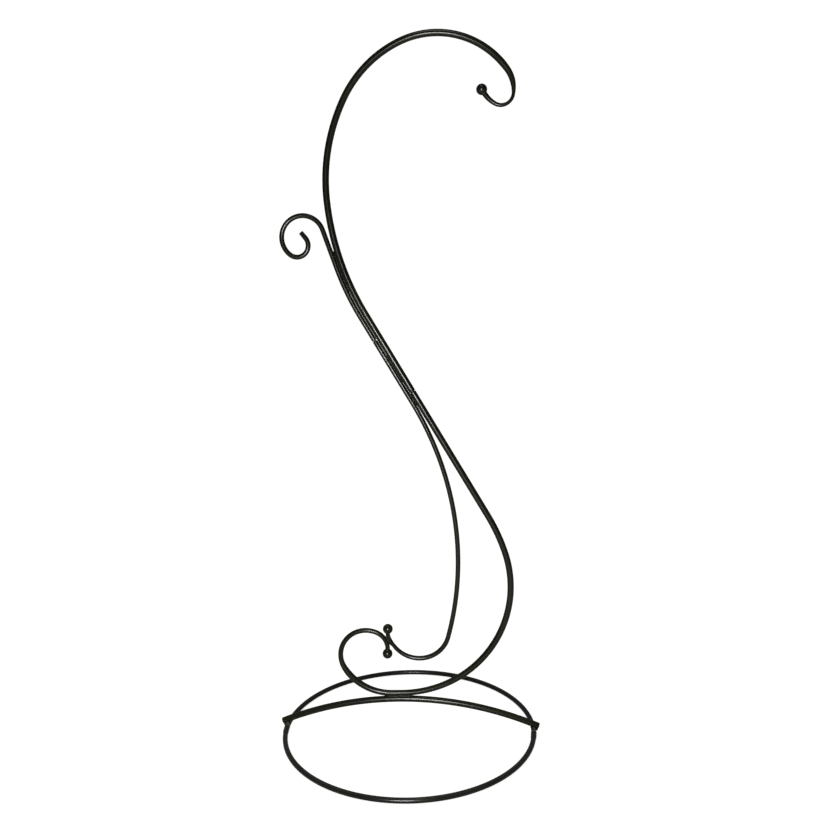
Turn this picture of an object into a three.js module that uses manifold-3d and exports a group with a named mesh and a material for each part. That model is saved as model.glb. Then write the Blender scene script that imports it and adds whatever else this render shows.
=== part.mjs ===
// A tall hanging plant stand, made of bent steel tube.
//
// A round base of two half hoops carries an arched cross bar. A pole stands on the crown of
// the bar: its foot curls back into a scroll, its belly swings out to one side, it leans
// straight across to the other, and its crown comes over in a wide arc that ends in a hook.
// A thinner rod lies against the leaning run. It ends in a small curled hook above and in a
// heel below, whose tip kisses the tip of the scroll. Pole, rod and base each part at slip
// joints, a spigot in a socket, so that the stand packs flat.
//
// Millimetres, +Z up. The stand lies in the XZ plane, seen from -Y, and the origin is on the
// ground under the centre of the base.

import * as THREE from 'three';
import { mergeVertices } from 'three/addons/utils/BufferGeometryUtils.js';
import Module from 'manifold-3d';

// ---- Driving dimensions ----------------------------------------------------------------

const CLEARANCE = 0.3; // between pieces that touch, and all round a spigot

// Base
const BASE_DIAMETER = 500; // across the hoops, centre to centre of their tube
const HOOP_TUBE = 10;
const BAR_TUBE = 12.7;
const BAR_CROWN_HEIGHT = 66.6; // of the bar's centreline, above the ground
const BAR_OVERHANG = 6; // of the bar's cut ends, past the centreline of the hoop
const HOOP_SEAM_AHEAD = 10; // of the slip joints, in front of the bar

// Slip joints
const TUBE_WALL = 1.5;
const SPIGOT_LENGTH = 30;
const SPIGOT_CHAMFER = 0.8;
const SOCKET_SPARE = 2; // left empty past the end of the spigot
const SEAM_REVEAL = 1.5; // of the spigot, left showing between the two tubes

// Pole: tube sizes along it
const POLE_TUBE = 12.7;
const FOOT_TUBE = 11.4;
const SCROLL_TUBE = 10.4; // where the loop of the scroll starts
const SCROLL_TIP_TUBE = 9.4;
const BEAK_TUBE = 10.3; // halfway round the beak's tip
const HOOK_TUBE = 6.5; // in the bend that takes the load
const HOOK_END_TUBE = 8; // at the end of that bend
const HOOK_TIP_TUBE = 9.8;

// Pole: bends, from the foot to the tip of the scroll
const FOOT_OFFSET = -20; // of the point where pole and bar touch, from the middle of the bar
const SCROLL_LEAD = 14;
const SCROLL_HEEL = { radius: 107, turn: 60.5 };
const SCROLL_NECK_BEFORE = 15; // the pole thins over the end of the heel
const SCROLL_NECK_PAST = 20; // and the start of the loop
const SCROLL_LOOP = { radius: 53, turn: 145 };
const SCROLL_TIP = { radius: 35.5, turn: 68.2 };

// Pole: bends, from the foot to the tip of the hook
const BELLY_LEAD = 6.4;
const BELLY = { radius: 225.3, turn: 106.3 };
const BELLY_EASE = { radius: 379, turn: 12.3 };
const LEANING_RUN = 455;
const FLANK = { radius: 500, turn: 25.4 };
const SHOULDER = { radius: 330, turn: 32.5 };
const CROWN = { radius: 210, turn: 39.8 };
const BEAK = { radius: 162, turn: 76.6 };
const TAPER_TURN = 6; // of the beak's last part, where the pole starts to thin
const BEAK_TIP = { radius: 60.5, turn: 42.8 };
const HOOK = { radius: 22, turn: 112.2 };
const HOOK_TIP = { radius: 55, turn: 27 };

// Rod
const ROD_TUBE = 9.5;
const ROD_TIP_TUBE = 7.2;
const ROD_CUT_TUBE = 8.8; // at the square-cut end of the small hook
const ROD_TAPER = 90; // length over which the lower end thins
const KISS_FROM_SCROLL_BALL = 27;
const KISS_FROM_ROD_BALL = 22;
const ROD_TIP_RADIUS = 30;
const ROD_INSTEP = { radius: 78, turn: 18.2 }; // from the kiss down to the heel
const ROD_HEEL_RADIUS = 61;
const ROD_RISE_TURN = 45.5; // of the long bend from the heel up to the leaning run
const ROD_FLANK_TURN = 11.4; // how far the rod follows the pole's flank
const CURL_LEAD = 74.4;
const CURL = { radius: 40.3, turn: 211.8 };
const CURL_INNER = { radius: 21.6, turn: 168 };
const CURL_CUT_RUN = 13.5;

// Seams, from the lower end of the leaning run
const POLE_SEAM = 281;
const ROD_SEAM = 401;

// Balls that close the tips
const BALL_DIAMETER = 20;
const BALL_BITE = 4; // depth of the blind hole that takes the tube

// Welds: half length, half width across the gap, half depth
const BAR_WELD = { length: 10, width: 6.5, depth: 8 };
const FOOT_WELD = { length: 34, width: 5, depth: 5.4 };
const KISS_WELD = { length: 12, width: 4.2, depth: 4 };
const ROD_WELD = { length: 30, width: 4.6, depth: 4.4 };
const LOW_WELD_PAST_PARTING = 38; // from where the rod leaves the pole, to the weld's middle
const HIGH_WELD_PAST_PARTING = 20;

// Fineness of the faceted surfaces
const POLE_SIDES = 16;
const ROD_SIDES = 12;
const HOOP_SIDES = 12;
const BEND_TOLERANCE = 0.22; // between a bend and its facets
const BEND_STEP_LIMIT = 8; // degrees
const BALL_STEPS = 10; // from a ball's rim to its far end
const BEAD_AROUND = 20;
const BEAD_STEPS = 12; // from one side of a weld bead to the other

// Allowances of the modelling itself
const CUT_OVERSHOOT = 1; // of a bore that is cut through both ends
const LEAST_FACET = 0.01; // length, so that no sliver is made beside a knot
const MERGE_DISTANCE = 1e-4;
const ROOM_FACTOR = 2; // length of tube cut out of a weld, over the weld's own

// ---- Bent centrelines --------------------------------------------------------------------

const radians = THREE.MathUtils.degToRad;

// A plane that a tube is bent in: 2D points (a, b) map to origin + a u + b v.
const STAND_PLANE = {
  origin: new THREE.Vector3(0, 0, 0),
  u: new THREE.Vector3(1, 0, 0),
  v: new THREE.Vector3(0, 0, 1),
};
const BASE_PLANE = {
  origin: new THREE.Vector3(0, 0, HOOP_TUBE / 2),
  u: new THREE.Vector3(1, 0, 0),
  v: new THREE.Vector3(0, 1, 0),
};

// The place and heading reached after a run along a straight (curvature 0) or an arc.
function advance(pose, curvature, run) {
  const heading = pose.heading + curvature * run;
  if (curvature === 0) {
    const x = pose.x + run * Math.cos(heading);
    return { x, y: pose.y + run * Math.sin(heading), heading };
  }
  const x = pose.x + (Math.sin(heading) - Math.sin(pose.heading)) / curvature;
  const y = pose.y - (Math.cos(heading) - Math.cos(pose.heading)) / curvature;
  return { x, y, heading };
}

// The pose a given distance to the left of another, with the same heading.
function beside(pose, distance) {
  const x = pose.x - distance * Math.sin(pose.heading);
  return { x, y: pose.y + distance * Math.cos(pose.heading), heading: pose.heading };
}

// A centreline of straights and bends that follow each other without a kink.
// Places on it are distances from its zero mark, and bends to the left are positive.
class BentPath {
  constructor(plane, pose) {
    this.plane = plane;
    this.pieces = [];
    this.start = 0;
    this.end = 0;
    this.tail = pose;
  }

  add(run, curvature) {
    this.pieces.push({ from: this.end, to: this.end + run, pose: this.tail, curvature });
    this.tail = advance(this.tail, curvature, run);
    this.end += run;
    return this;
  }

  straight(run) {
    return this.add(run, 0);
  }

  bend(radius, turn) {
    return this.add(radius * radians(Math.abs(turn)), Math.sign(turn) / radius);
  }

  // The same line with this one's pieces put before its zero mark, run the other way.
  following(back) {
    const turned = back.pieces.map((piece) => {
      const end = advance(piece.pose, piece.curvature, piece.to - piece.from);
      const pose = { x: end.x, y: end.y, heading: end.heading + Math.PI };
      return { from: -piece.to, to: -piece.from, pose, curvature: -piece.curvature };
    });
    this.pieces = [...turned.reverse(), ...this.pieces];
    this.start = -back.end;
    return this;
  }

  pieceAt(place) {
    const last = this.pieces[this.pieces.length - 1];
    return this.pieces.find((piece) => place <= piece.to) ?? last;
  }

  pose(place) {
    const piece = this.pieceAt(place);
    return advance(piece.pose, piece.curvature, place - piece.from);
  }

  // Centre, outward direction in the plane and direction across it, at a place.
  frame(place) {
    const { x, y, heading } = this.pose(place);
    const { origin, u, v } = this.plane;
    const centre = origin.clone().addScaledVector(u, x).addScaledVector(v, y);
    const out = new THREE.Vector3()
      .addScaledVector(u, -Math.sin(heading))
      .addScaledVector(v, Math.cos(heading));
    const side = new THREE.Vector3().crossVectors(u, v);
    const along = new THREE.Vector3().crossVectors(out, side);
    return { centre, out, side, along };
  }

  // Places between two others where the facets of the bends meet.
  stations(from, to) {
    const low = Math.min(from, to);
    const high = Math.max(from, to);
    const places = this.pieces.flatMap((piece) => facetPlaces(piece));
    const inside = places.filter((place) => place > low + LEAST_FACET && place < high - LEAST_FACET);
    return from <= to ? inside : inside.reverse();
  }
}

// Where one straight or bend is divided: its start, and even steps round a bend.
function facetPlaces(piece) {
  const run = piece.to - piece.from;
  const radius = 1 / Math.abs(piece.curvature);
  const step = 2 * Math.acos(1 - BEND_TOLERANCE / radius) || Infinity;
  const count = Math.ceil(run / (radius * Math.min(step, radians(BEND_STEP_LIMIT)))) || 1;
  return Array.from({ length: count }, (_, index) => piece.from + (run * index) / count);
}

// ---- Solids ------------------------------------------------------------------------------

// A closed skin over a row of rings, each a regular polygon drawn round its circle, with a
// flat facing out, in and to both sides. The first and last rings are capped.
function skin(rings, sides) {
  const positions = [];
  const indices = [];
  for (const { centre, out, side, radius } of rings) {
    const corner = radius / Math.cos(Math.PI / sides);
    for (let index = 0; index < sides; index += 1) {
      const angle = ((index + 0.5) * 2 * Math.PI) / sides;
      const point = centre.clone()
        .addScaledVector(out, corner * Math.cos(angle))
        .addScaledVector(side, corner * Math.sin(angle));
      positions.push(...point.toArray());
    }
  }
  const first = positions.length / 3;
  const last = first + 1;
  const lastRing = (rings.length - 1) * sides;
  positions.push(...rings[0].centre.toArray(), ...rings[rings.length - 1].centre.toArray());
  for (let index = 0; index < sides; index += 1) {
    const next = (index + 1) % sides;
    for (let base = 0; base < lastRing; base += sides) {
      const [a, b, c, d] = [base + index, base + next, base + sides + index, base + sides + next];
      indices.push(a, b, c, b, d, c);
    }
    indices.push(first, next, index);
    indices.push(last, lastRing + index, lastRing + next);
  }
  const geometry = new THREE.BufferGeometry();
  geometry.setAttribute('position', new THREE.Float32BufferAttribute(positions, 3));
  geometry.setIndex(indices);
  return geometry;
}

// A tube swept along a centreline through knots of [place, radius]. The radius changes
// evenly between knots, steps where two knots share a place, and the sweep may turn back
// on itself to line a bore.
function sweep(path, knots, sides) {
  const rings = [{ ...path.frame(knots[0][0]), radius: knots[0][1] }];
  for (let index = 1; index < knots.length; index += 1) {
    const [from, fromRadius] = knots[index - 1];
    const [to, toRadius] = knots[index];
    for (const place of path.stations(from, to)) {
      const share = (place - from) / (to - from);
      rings.push({ ...path.frame(place), radius: THREE.MathUtils.lerp(fromRadius, toRadius, share) });
    }
    rings.push({ ...path.frame(to), radius: toRadius });
  }
  return skin(rings, sides);
}

// The radius that knots give at one place.
function radiusAt(knots, place) {
  const index = knots.findIndex(([at]) => at >= place);
  const [from, fromRadius] = knots[index - 1];
  const [to, toRadius] = knots[index];
  return THREE.MathUtils.mapLinear(place, from, to, fromRadius, toRadius);
}

// Knots of a spigot past a seam, pointing the way of `sign` along the centreline.
function spigotKnots(seam, sign, tubeRadius) {
  const radius = tubeRadius - TUBE_WALL - CLEARANCE;
  const tip = seam + sign * (SEAM_REVEAL + SPIGOT_LENGTH);
  return [
    [seam, tubeRadius],
    [seam, radius],
    [tip - sign * SPIGOT_CHAMFER, radius],
    [tip, radius - SPIGOT_CHAMFER],
  ];
}

// Knots of the socket that takes such a spigot, from the bottom of the bore to the lip.
function socketKnots(seam, sign, tubeRadius) {
  const lip = seam + sign * SEAM_REVEAL;
  const bottom = lip + sign * (SPIGOT_LENGTH + SOCKET_SPARE);
  const bore = tubeRadius - TUBE_WALL;
  return [
    [bottom, bore],
    [lip, bore],
    [lip, tubeRadius],
  ];
}

const wasm = await Module();
wasm.setup();

function toManifold(geometry) {
  const bare = geometry.clone();
  bare.deleteAttribute('normal');
  bare.deleteAttribute('uv');
  const merged = mergeVertices(bare, MERGE_DISTANCE);
  const vertProperties = new Float32Array(merged.attributes.position.array);
  const triVerts = new Uint32Array(merged.index.array);
  return new wasm.Manifold(new wasm.Mesh({ numProp: 3, vertProperties, triVerts }));
}

function fromManifold(solid) {
  const { vertProperties, triVerts } = solid.getMesh();
  const geometry = new THREE.BufferGeometry();
  geometry.setAttribute('position', new THREE.Float32BufferAttribute(vertProperties, 3));
  geometry.setIndex(Array.from(triVerts));
  return geometry;
}

// A weld bead: an oval drop of metal round the touching point of two tubes, minus the room
// that the tubes take.
function weldBead(frame, centre, size, tubes) {
  const drop = new THREE.SphereGeometry(1, BEAD_AROUND, BEAD_STEPS);
  const basis = new THREE.Matrix4().makeBasis(
    frame.along.clone().multiplyScalar(size.length),
    frame.out.clone().multiplyScalar(size.width),
    frame.side.clone().multiplyScalar(size.depth),
  );
  drop.applyMatrix4(basis.setPosition(centre));
  const bead = tubes.reduce((solid, tube) => solid.subtract(toManifold(tube)), toManifold(drop));
  return fromManifold(bead);
}

// A ball on the end of a tube, with a blind hole that the tube's tip sits in.
function tipBall(frame, tipRadius) {
  const radius = BALL_DIAMETER / 2;
  const hole = tipRadius + CLEARANCE;
  const floor = radius - BALL_BITE - CLEARANCE;
  const rim = Math.asin(hole / radius);
  const profile = [new THREE.Vector2(0, floor), new THREE.Vector2(hole, floor)];
  for (let step = 0; step <= BALL_STEPS; step += 1) {
    const angle = THREE.MathUtils.lerp(rim, Math.PI, step / BALL_STEPS);
    const across = step === BALL_STEPS ? 0 : radius * Math.sin(angle);
    profile.push(new THREE.Vector2(across, radius * Math.cos(angle)));
  }
  const ball = new THREE.LatheGeometry(profile.reverse(), POLE_SIDES);
  const turn = new THREE.Matrix4().makeBasis(frame.out, frame.along, frame.side.clone().negate());
  return ball.applyMatrix4(turn.setPosition(frame.centre));
}

// ---- Base --------------------------------------------------------------------------------

const baseRadius = BASE_DIAMETER / 2;
const hoopRadius = HOOP_TUBE / 2;
const barRadius = BAR_TUBE / 2;
const poleRadius = POLE_TUBE / 2;

// A circle through both seams, run counter-clockwise from the left-hand or right-hand one.
// Facets meet halfway round, where the hoop reaches farthest from the bar.
function hoopPath(fromAngle, turn) {
  const angle = radians(fromAngle);
  const pose = {
    x: baseRadius * Math.cos(angle),
    y: baseRadius * Math.sin(angle),
    heading: angle + Math.PI / 2,
  };
  const slack = THREE.MathUtils.radToDeg((SPIGOT_LENGTH + SOCKET_SPARE + SEAM_REVEAL) / baseRadius);
  const back = new BentPath(BASE_PLANE, { ...pose, heading: pose.heading + Math.PI });
  return new BentPath(BASE_PLANE, pose)
    .bend(baseRadius, turn / 2)
    .bend(baseRadius, turn / 2)
    .bend(baseRadius, slack)
    .following(back.bend(baseRadius, -slack));
}

const seamAngle = THREE.MathUtils.radToDeg(Math.asin(HOOP_SEAM_AHEAD / baseRadius));
const rearTurn = 180 + 2 * seamAngle;
const rearPath = hoopPath(-seamAngle, rearTurn);
const rearLength = baseRadius * radians(rearTurn);
const frontPath = hoopPath(180 + seamAngle, 360 - rearTurn);
const frontLength = baseRadius * radians(360 - rearTurn);

function rearHoop() {
  const knots = [
    ...spigotKnots(0, -1, hoopRadius).reverse(),
    ...spigotKnots(rearLength, 1, hoopRadius),
  ];
  return sweep(rearPath, knots, HOOP_SIDES);
}

function frontHoop() {
  const knots = [
    ...socketKnots(0, 1, hoopRadius),
    ...socketKnots(frontLength, -1, hoopRadius).reverse(),
  ];
  return sweep(frontPath, knots, HOOP_SIDES);
}

// The bar is an arc that clears the hoop by one clearance and peaks at its crown height.
const barToHoop = barRadius + CLEARANCE + hoopRadius;
const crownOverHoop = BAR_CROWN_HEIGHT - hoopRadius;
const barArcRadius = (baseRadius ** 2 + crownOverHoop ** 2 - barToHoop ** 2)
  / (2 * (crownOverHoop - barToHoop));
const barHalfTurn = Math.asin(baseRadius / (barArcRadius - barToHoop))
  + BAR_OVERHANG / barArcRadius;

function barPose(angle) {
  return {
    x: -barArcRadius * Math.sin(angle),
    y: BAR_CROWN_HEIGHT - barArcRadius * (1 - Math.cos(angle)),
    heading: angle + Math.PI,
  };
}

const barPath = new BentPath(STAND_PLANE, barPose(-barHalfTurn))
  .bend(barArcRadius, THREE.MathUtils.radToDeg(2 * barHalfTurn));

function barKnots(grow = 0) {
  return [[0, barRadius + grow], [barPath.end, barRadius + grow]];
}

// The bar is a plain tube, open at both of its square-cut ends.
function crossBar() {
  const boreRadius = barRadius - TUBE_WALL;
  const boreKnots = [[-CUT_OVERSHOOT, boreRadius], [barPath.end + CUT_OVERSHOOT, boreRadius]];
  const bore = toManifold(sweep(barPath, boreKnots, POLE_SIDES));
  return fromManifold(toManifold(sweep(barPath, barKnots(), POLE_SIDES)).subtract(bore));
}

// ---- Pole --------------------------------------------------------------------------------

// The foot sits on the bar with the bar's own slope at the touching point.
const footAngle = Math.asin(-FOOT_OFFSET / barArcRadius);
const barAtFoot = barPose(footAngle);
const footPose = beside(
  { ...barAtFoot, heading: barAtFoot.heading - Math.PI },
  barRadius + CLEARANCE + FOOT_TUBE / 2,
);
const ballRadius = BALL_DIAMETER / 2;

const scrollPath = new BentPath(STAND_PLANE, { ...footPose, heading: footPose.heading + Math.PI })
  .straight(SCROLL_LEAD)
  .bend(SCROLL_HEEL.radius, -SCROLL_HEEL.turn)
  .bend(SCROLL_LOOP.radius, -SCROLL_LOOP.turn)
  .bend(SCROLL_TIP.radius, -SCROLL_TIP.turn)
  .straight(ballRadius);

const polePath = new BentPath(STAND_PLANE, footPose)
  .straight(BELLY_LEAD)
  .bend(BELLY.radius, BELLY.turn)
  .bend(BELLY_EASE.radius, BELLY_EASE.turn);
const runStart = polePath.end;
const runPose = polePath.tail;
polePath.straight(LEANING_RUN);
const runEnd = polePath.end;
polePath
  .bend(FLANK.radius, -FLANK.turn)
  .bend(SHOULDER.radius, -SHOULDER.turn)
  .bend(CROWN.radius, -CROWN.turn)
  .bend(BEAK.radius, -BEAK.turn);
const beakEnd = polePath.end;
polePath.bend(BEAK_TIP.radius, -BEAK_TIP.turn);
const hookStart = polePath.end;
polePath.bend(HOOK.radius, -HOOK.turn);
const hookEnd = polePath.end;
polePath
  .bend(HOOK_TIP.radius, -HOOK_TIP.turn)
  .straight(ballRadius)
  .following(scrollPath);

const poleSeam = runStart + POLE_SEAM;
const tipInset = ballRadius - BALL_BITE;

function lowerPoleKnots(grow = 0) {
  const scrollHeelEnd = -(SCROLL_LEAD + SCROLL_HEEL.radius * radians(SCROLL_HEEL.turn));
  return [
    [polePath.start + tipInset, SCROLL_TIP_TUBE / 2 + grow],
    [scrollHeelEnd - SCROLL_NECK_PAST, SCROLL_TUBE / 2 + grow],
    [scrollHeelEnd + SCROLL_NECK_BEFORE, poleRadius + grow],
    [0, FOOT_TUBE / 2 + grow],
    [BELLY_LEAD + BELLY.radius * radians(BELLY.turn / 2), poleRadius + grow],
    [poleSeam, poleRadius + grow],
  ];
}

function lowerPole() {
  const knots = [...lowerPoleKnots(), ...spigotKnots(poleSeam, 1, poleRadius).slice(1)];
  return sweep(polePath, knots, POLE_SIDES);
}

function upperPole() {
  const knots = [
    ...socketKnots(poleSeam, 1, poleRadius),
    [beakEnd - BEAK.radius * radians(TAPER_TURN), poleRadius],
    [(beakEnd + hookStart) / 2, BEAK_TUBE / 2],
    [hookStart, HOOK_TUBE / 2],
    [(hookStart + hookEnd) / 2, HOOK_TUBE / 2],
    [hookEnd, HOOK_END_TUBE / 2],
    [polePath.end - tipInset - BALL_BITE, HOOK_TIP_TUBE / 2],
    [polePath.end - tipInset, HOOK_TIP_TUBE / 2],
  ];
  return sweep(polePath, knots, POLE_SIDES);
}

// ---- Rod ---------------------------------------------------------------------------------

const rodRadius = ROD_TUBE / 2;
const rodBesidePole = poleRadius + CLEARANCE + rodRadius;

// The tip of the rod lies against the tip of the scroll, both running down to the kiss.
const kissPlace = polePath.start + KISS_FROM_SCROLL_BALL;
const kissOnScroll = scrollPath.pose(-kissPlace);
const scrollRadiusAtKiss = radiusAt(lowerPoleKnots(), kissPlace);
const rodTaperShare = KISS_FROM_ROD_BALL / ROD_TAPER;
const rodRadiusAtKiss = THREE.MathUtils.lerp(ROD_TIP_TUBE / 2, rodRadius, rodTaperShare);
const kissPose = beside(kissOnScroll, scrollRadiusAtKiss + CLEARANCE + rodRadiusAtKiss);

const rodTipTurn = THREE.MathUtils.radToDeg((KISS_FROM_ROD_BALL - ballRadius) / ROD_TIP_RADIUS);
const rodTipPath = new BentPath(STAND_PLANE, { ...kissPose, heading: kissPose.heading + Math.PI })
  .bend(ROD_TIP_RADIUS, -rodTipTurn)
  .straight(ballRadius);

// From the heel, one long bend rises to meet the line beside the pole without a kink.
const lineStart = beside(runPose, rodBesidePole);
const heelTurn = THREE.MathUtils.radToDeg(runPose.heading - kissPose.heading)
  - ROD_INSTEP.turn - ROD_RISE_TURN;
const rodPath = new BentPath(STAND_PLANE, kissPose)
  .bend(ROD_INSTEP.radius, ROD_INSTEP.turn)
  .bend(ROD_HEEL_RADIUS, ((heelTurn % 360) + 360) % 360);
const heelEnd = rodPath.tail;
const heelToLine = (heelEnd.x - lineStart.x) * Math.sin(lineStart.heading)
  - (heelEnd.y - lineStart.y) * Math.cos(lineStart.heading);
const riseRadius = -heelToLine / (1 - Math.cos(radians(ROD_RISE_TURN)));
rodPath.bend(riseRadius, ROD_RISE_TURN);
const partingPlace = rodPath.end;
const partingOnLine = (rodPath.tail.x - lineStart.x) * Math.cos(lineStart.heading)
  + (rodPath.tail.y - lineStart.y) * Math.sin(lineStart.heading);
rodPath
  .straight(LEANING_RUN - partingOnLine)
  .bend(FLANK.radius + rodBesidePole, -ROD_FLANK_TURN)
  .straight(CURL_LEAD)
  .bend(CURL.radius, CURL.turn)
  .bend(CURL_INNER.radius, CURL_INNER.turn)
  .straight(CURL_CUT_RUN)
  .following(rodTipPath);

const rodSeam = partingPlace + ROD_SEAM - partingOnLine;

function lowerRodKnots(grow = 0) {
  return [
    [rodPath.start + tipInset, ROD_TIP_TUBE / 2 + grow],
    [rodPath.start + ROD_TAPER, rodRadius + grow],
    [rodSeam, rodRadius + grow],
  ];
}

function lowerRod() {
  const knots = [...lowerRodKnots(), ...spigotKnots(rodSeam, 1, rodRadius).slice(1)];
  return sweep(rodPath, knots, ROD_SIDES);
}

function upperRod() {
  const knots = [
    ...socketKnots(rodSeam, 1, rodRadius),
    [rodPath.end - CURL_CUT_RUN, rodRadius],
    [rodPath.end, ROD_CUT_TUBE / 2],
  ];
  return sweep(rodPath, knots, ROD_SIDES);
}

// ---- Welds -------------------------------------------------------------------------------

// The part of a plain tube near one place, grown by the clearance.
function roomFor(path, place, reach, radius, sides) {
  const low = Math.max(path.start, place - reach);
  const high = Math.min(path.end, place + reach);
  return sweep(path, [[low, radius + CLEARANCE], [high, radius + CLEARANCE]], sides);
}

function barWeld(sign) {
  const hoopPlace = sign > 0 ? baseRadius * radians(seamAngle)
    : rearLength - baseRadius * radians(seamAngle);
  const place = barPath.end / 2 - sign * (barPath.end / 2 - BAR_OVERHANG);
  const frame = barPath.frame(place);
  const centre = frame.centre.clone().addScaledVector(frame.out, barRadius + CLEARANCE / 2);
  const tubes = [
    sweep(barPath, barKnots(CLEARANCE), POLE_SIDES),
    roomFor(rearPath, hoopPlace, ROOM_FACTOR * BAR_WELD.depth, hoopRadius, HOOP_SIDES),
  ];
  return weldBead(frame, centre, BAR_WELD, tubes);
}

function footWeld() {
  const frame = polePath.frame(0);
  const centre = frame.centre.clone().addScaledVector(frame.out, -FOOT_TUBE / 2 - CLEARANCE / 2);
  const tubes = [
    sweep(polePath, lowerPoleKnots(CLEARANCE), POLE_SIDES),
    sweep(barPath, barKnots(CLEARANCE), POLE_SIDES),
  ];
  return weldBead(frame, centre, FOOT_WELD, tubes);
}

function kissWeld() {
  const frame = rodPath.frame(0);
  const centre = frame.centre.clone().addScaledVector(frame.out, -rodRadiusAtKiss - CLEARANCE / 2);
  const tubes = [
    sweep(polePath, lowerPoleKnots(CLEARANCE), POLE_SIDES),
    sweep(rodPath, lowerRodKnots(CLEARANCE), ROD_SIDES),
  ];
  return weldBead(frame, centre, KISS_WELD, tubes);
}

// A bead in the narrow gap where the rod bends away from the pole.
function rodWeld(polePlace, rodPlace) {
  const frame = polePath.frame(polePlace);
  const centre = frame.centre.clone().lerp(rodPath.frame(rodPlace).centre, 0.5)
    .addScaledVector(frame.out, (poleRadius - rodRadius) / 2);
  const reach = ROOM_FACTOR * ROD_WELD.length;
  const tubes = [
    roomFor(polePath, polePlace, reach, poleRadius, POLE_SIDES),
    roomFor(rodPath, rodPlace, reach, rodRadius, ROD_SIDES),
  ];
  return weldBead(frame, centre, ROD_WELD, tubes);
}

function lowRodWeld() {
  const polePlace = runStart + partingOnLine - LOW_WELD_PAST_PARTING;
  return rodWeld(polePlace, partingPlace - LOW_WELD_PAST_PARTING);
}

function highRodWeld() {
  const followed = radians(ROD_FLANK_TURN);
  const polePlace = runEnd + FLANK.radius * followed + HIGH_WELD_PAST_PARTING;
  const parting = partingPlace + LEANING_RUN - partingOnLine
    + (FLANK.radius + rodBesidePole) * followed;
  return rodWeld(polePlace, parting + HIGH_WELD_PAST_PARTING);
}

// ---- Balls -------------------------------------------------------------------------------

// The frame of a tip, turned so that `along` points from the ball back along the tube.
function tipFrame(path, place, sign) {
  const { centre, out, side, along } = path.frame(place);
  return {
    centre,
    out: out.clone().multiplyScalar(sign),
    side,
    along: along.clone().multiplyScalar(sign),
  };
}

// ---- Assembly ----------------------------------------------------------------------------

const BLACK = '#262520';

function piece(name, geometry, roughness = 0.42) {
  const material = new THREE.MeshStandardMaterial({ color: BLACK, roughness, metalness: 0.3 });
  const mesh = new THREE.Mesh(geometry, material);
  mesh.name = name;
  return mesh;
}

const WELD_ROUGHNESS = 0.55;

const base = new THREE.Group();
base.add(
  piece('front_hoop', frontHoop()),
  piece('rear_hoop', rearHoop()),
  piece('cross_bar', crossBar()),
  piece('bar_weld_left', barWeld(-1), WELD_ROUGHNESS),
  piece('bar_weld_right', barWeld(1), WELD_ROUGHNESS),
);

const pole = new THREE.Group();
pole.add(
  piece('lower_pole', lowerPole()),
  piece('upper_pole', upperPole()),
  piece('scroll_ball', tipBall(tipFrame(polePath, polePath.start, 1), SCROLL_TIP_TUBE / 2)),
  piece('hook_ball', tipBall(tipFrame(polePath, polePath.end, -1), HOOK_TIP_TUBE / 2)),
  piece('foot_weld', footWeld(), WELD_ROUGHNESS),
);

const rod = new THREE.Group();
rod.add(
  piece('lower_rod', lowerRod()),
  piece('upper_rod', upperRod()),
  piece('rod_ball', tipBall(tipFrame(rodPath, rodPath.start, 1), ROD_TIP_TUBE / 2)),
  piece('tip_weld', kissWeld(), WELD_ROUGHNESS),
  piece('low_rod_weld', lowRodWeld(), WELD_ROUGHNESS),
  piece('high_rod_weld', highRodWeld(), WELD_ROUGHNESS),
);

const stand = new THREE.Group();
stand.add(base, pole, rod);

export default stand;
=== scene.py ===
"""Looks of the hanging plant stand: fine tubes, turned balls, weld beads and powder coat.

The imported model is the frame. Each of its pieces is replaced here by a smooth mesh on the
same centreline, with the same sizes. Lengths are in millimetres up to the point where a
mesh is made, and angles are in degrees where a name says so.
"""

from __future__ import annotations

import logging
import math
from dataclasses import dataclass
from enum import Enum

import bpy
from mathutils import Matrix, Vector

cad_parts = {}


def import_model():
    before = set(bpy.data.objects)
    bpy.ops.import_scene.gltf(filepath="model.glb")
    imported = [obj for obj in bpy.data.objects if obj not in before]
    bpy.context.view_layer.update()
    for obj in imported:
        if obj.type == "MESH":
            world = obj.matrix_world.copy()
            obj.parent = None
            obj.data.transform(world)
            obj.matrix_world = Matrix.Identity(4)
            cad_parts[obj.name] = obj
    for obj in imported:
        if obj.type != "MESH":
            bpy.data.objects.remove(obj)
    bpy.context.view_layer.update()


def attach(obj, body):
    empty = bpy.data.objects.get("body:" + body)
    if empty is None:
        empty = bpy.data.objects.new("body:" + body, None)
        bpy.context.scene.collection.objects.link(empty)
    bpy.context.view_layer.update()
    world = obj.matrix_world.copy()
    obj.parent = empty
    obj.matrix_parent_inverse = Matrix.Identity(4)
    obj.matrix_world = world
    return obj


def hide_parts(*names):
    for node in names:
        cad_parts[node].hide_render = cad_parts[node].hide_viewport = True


LOG = logging.getLogger("stand")
MM = 0.001
SKIN_INSET = 0.01  # the round skins lie a hair inside the frame's flats
LONGEST_STEP = 25.0  # between two cross-sections of a straight
FINEST = 0.03  # most that a chord may lie inside its arc
NEAR_KNOT = 0.05  # no cross-section is added closer to a knot than this
CORNER_STEPS = 5
SWELL_STEPS = 6
WELD_STEPS = 24
SHARP_TURN = 50.0  # edges that turn more than this, in degrees, stay sharp


# ---- Bent centrelines ------------------------------------------------------------------


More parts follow.
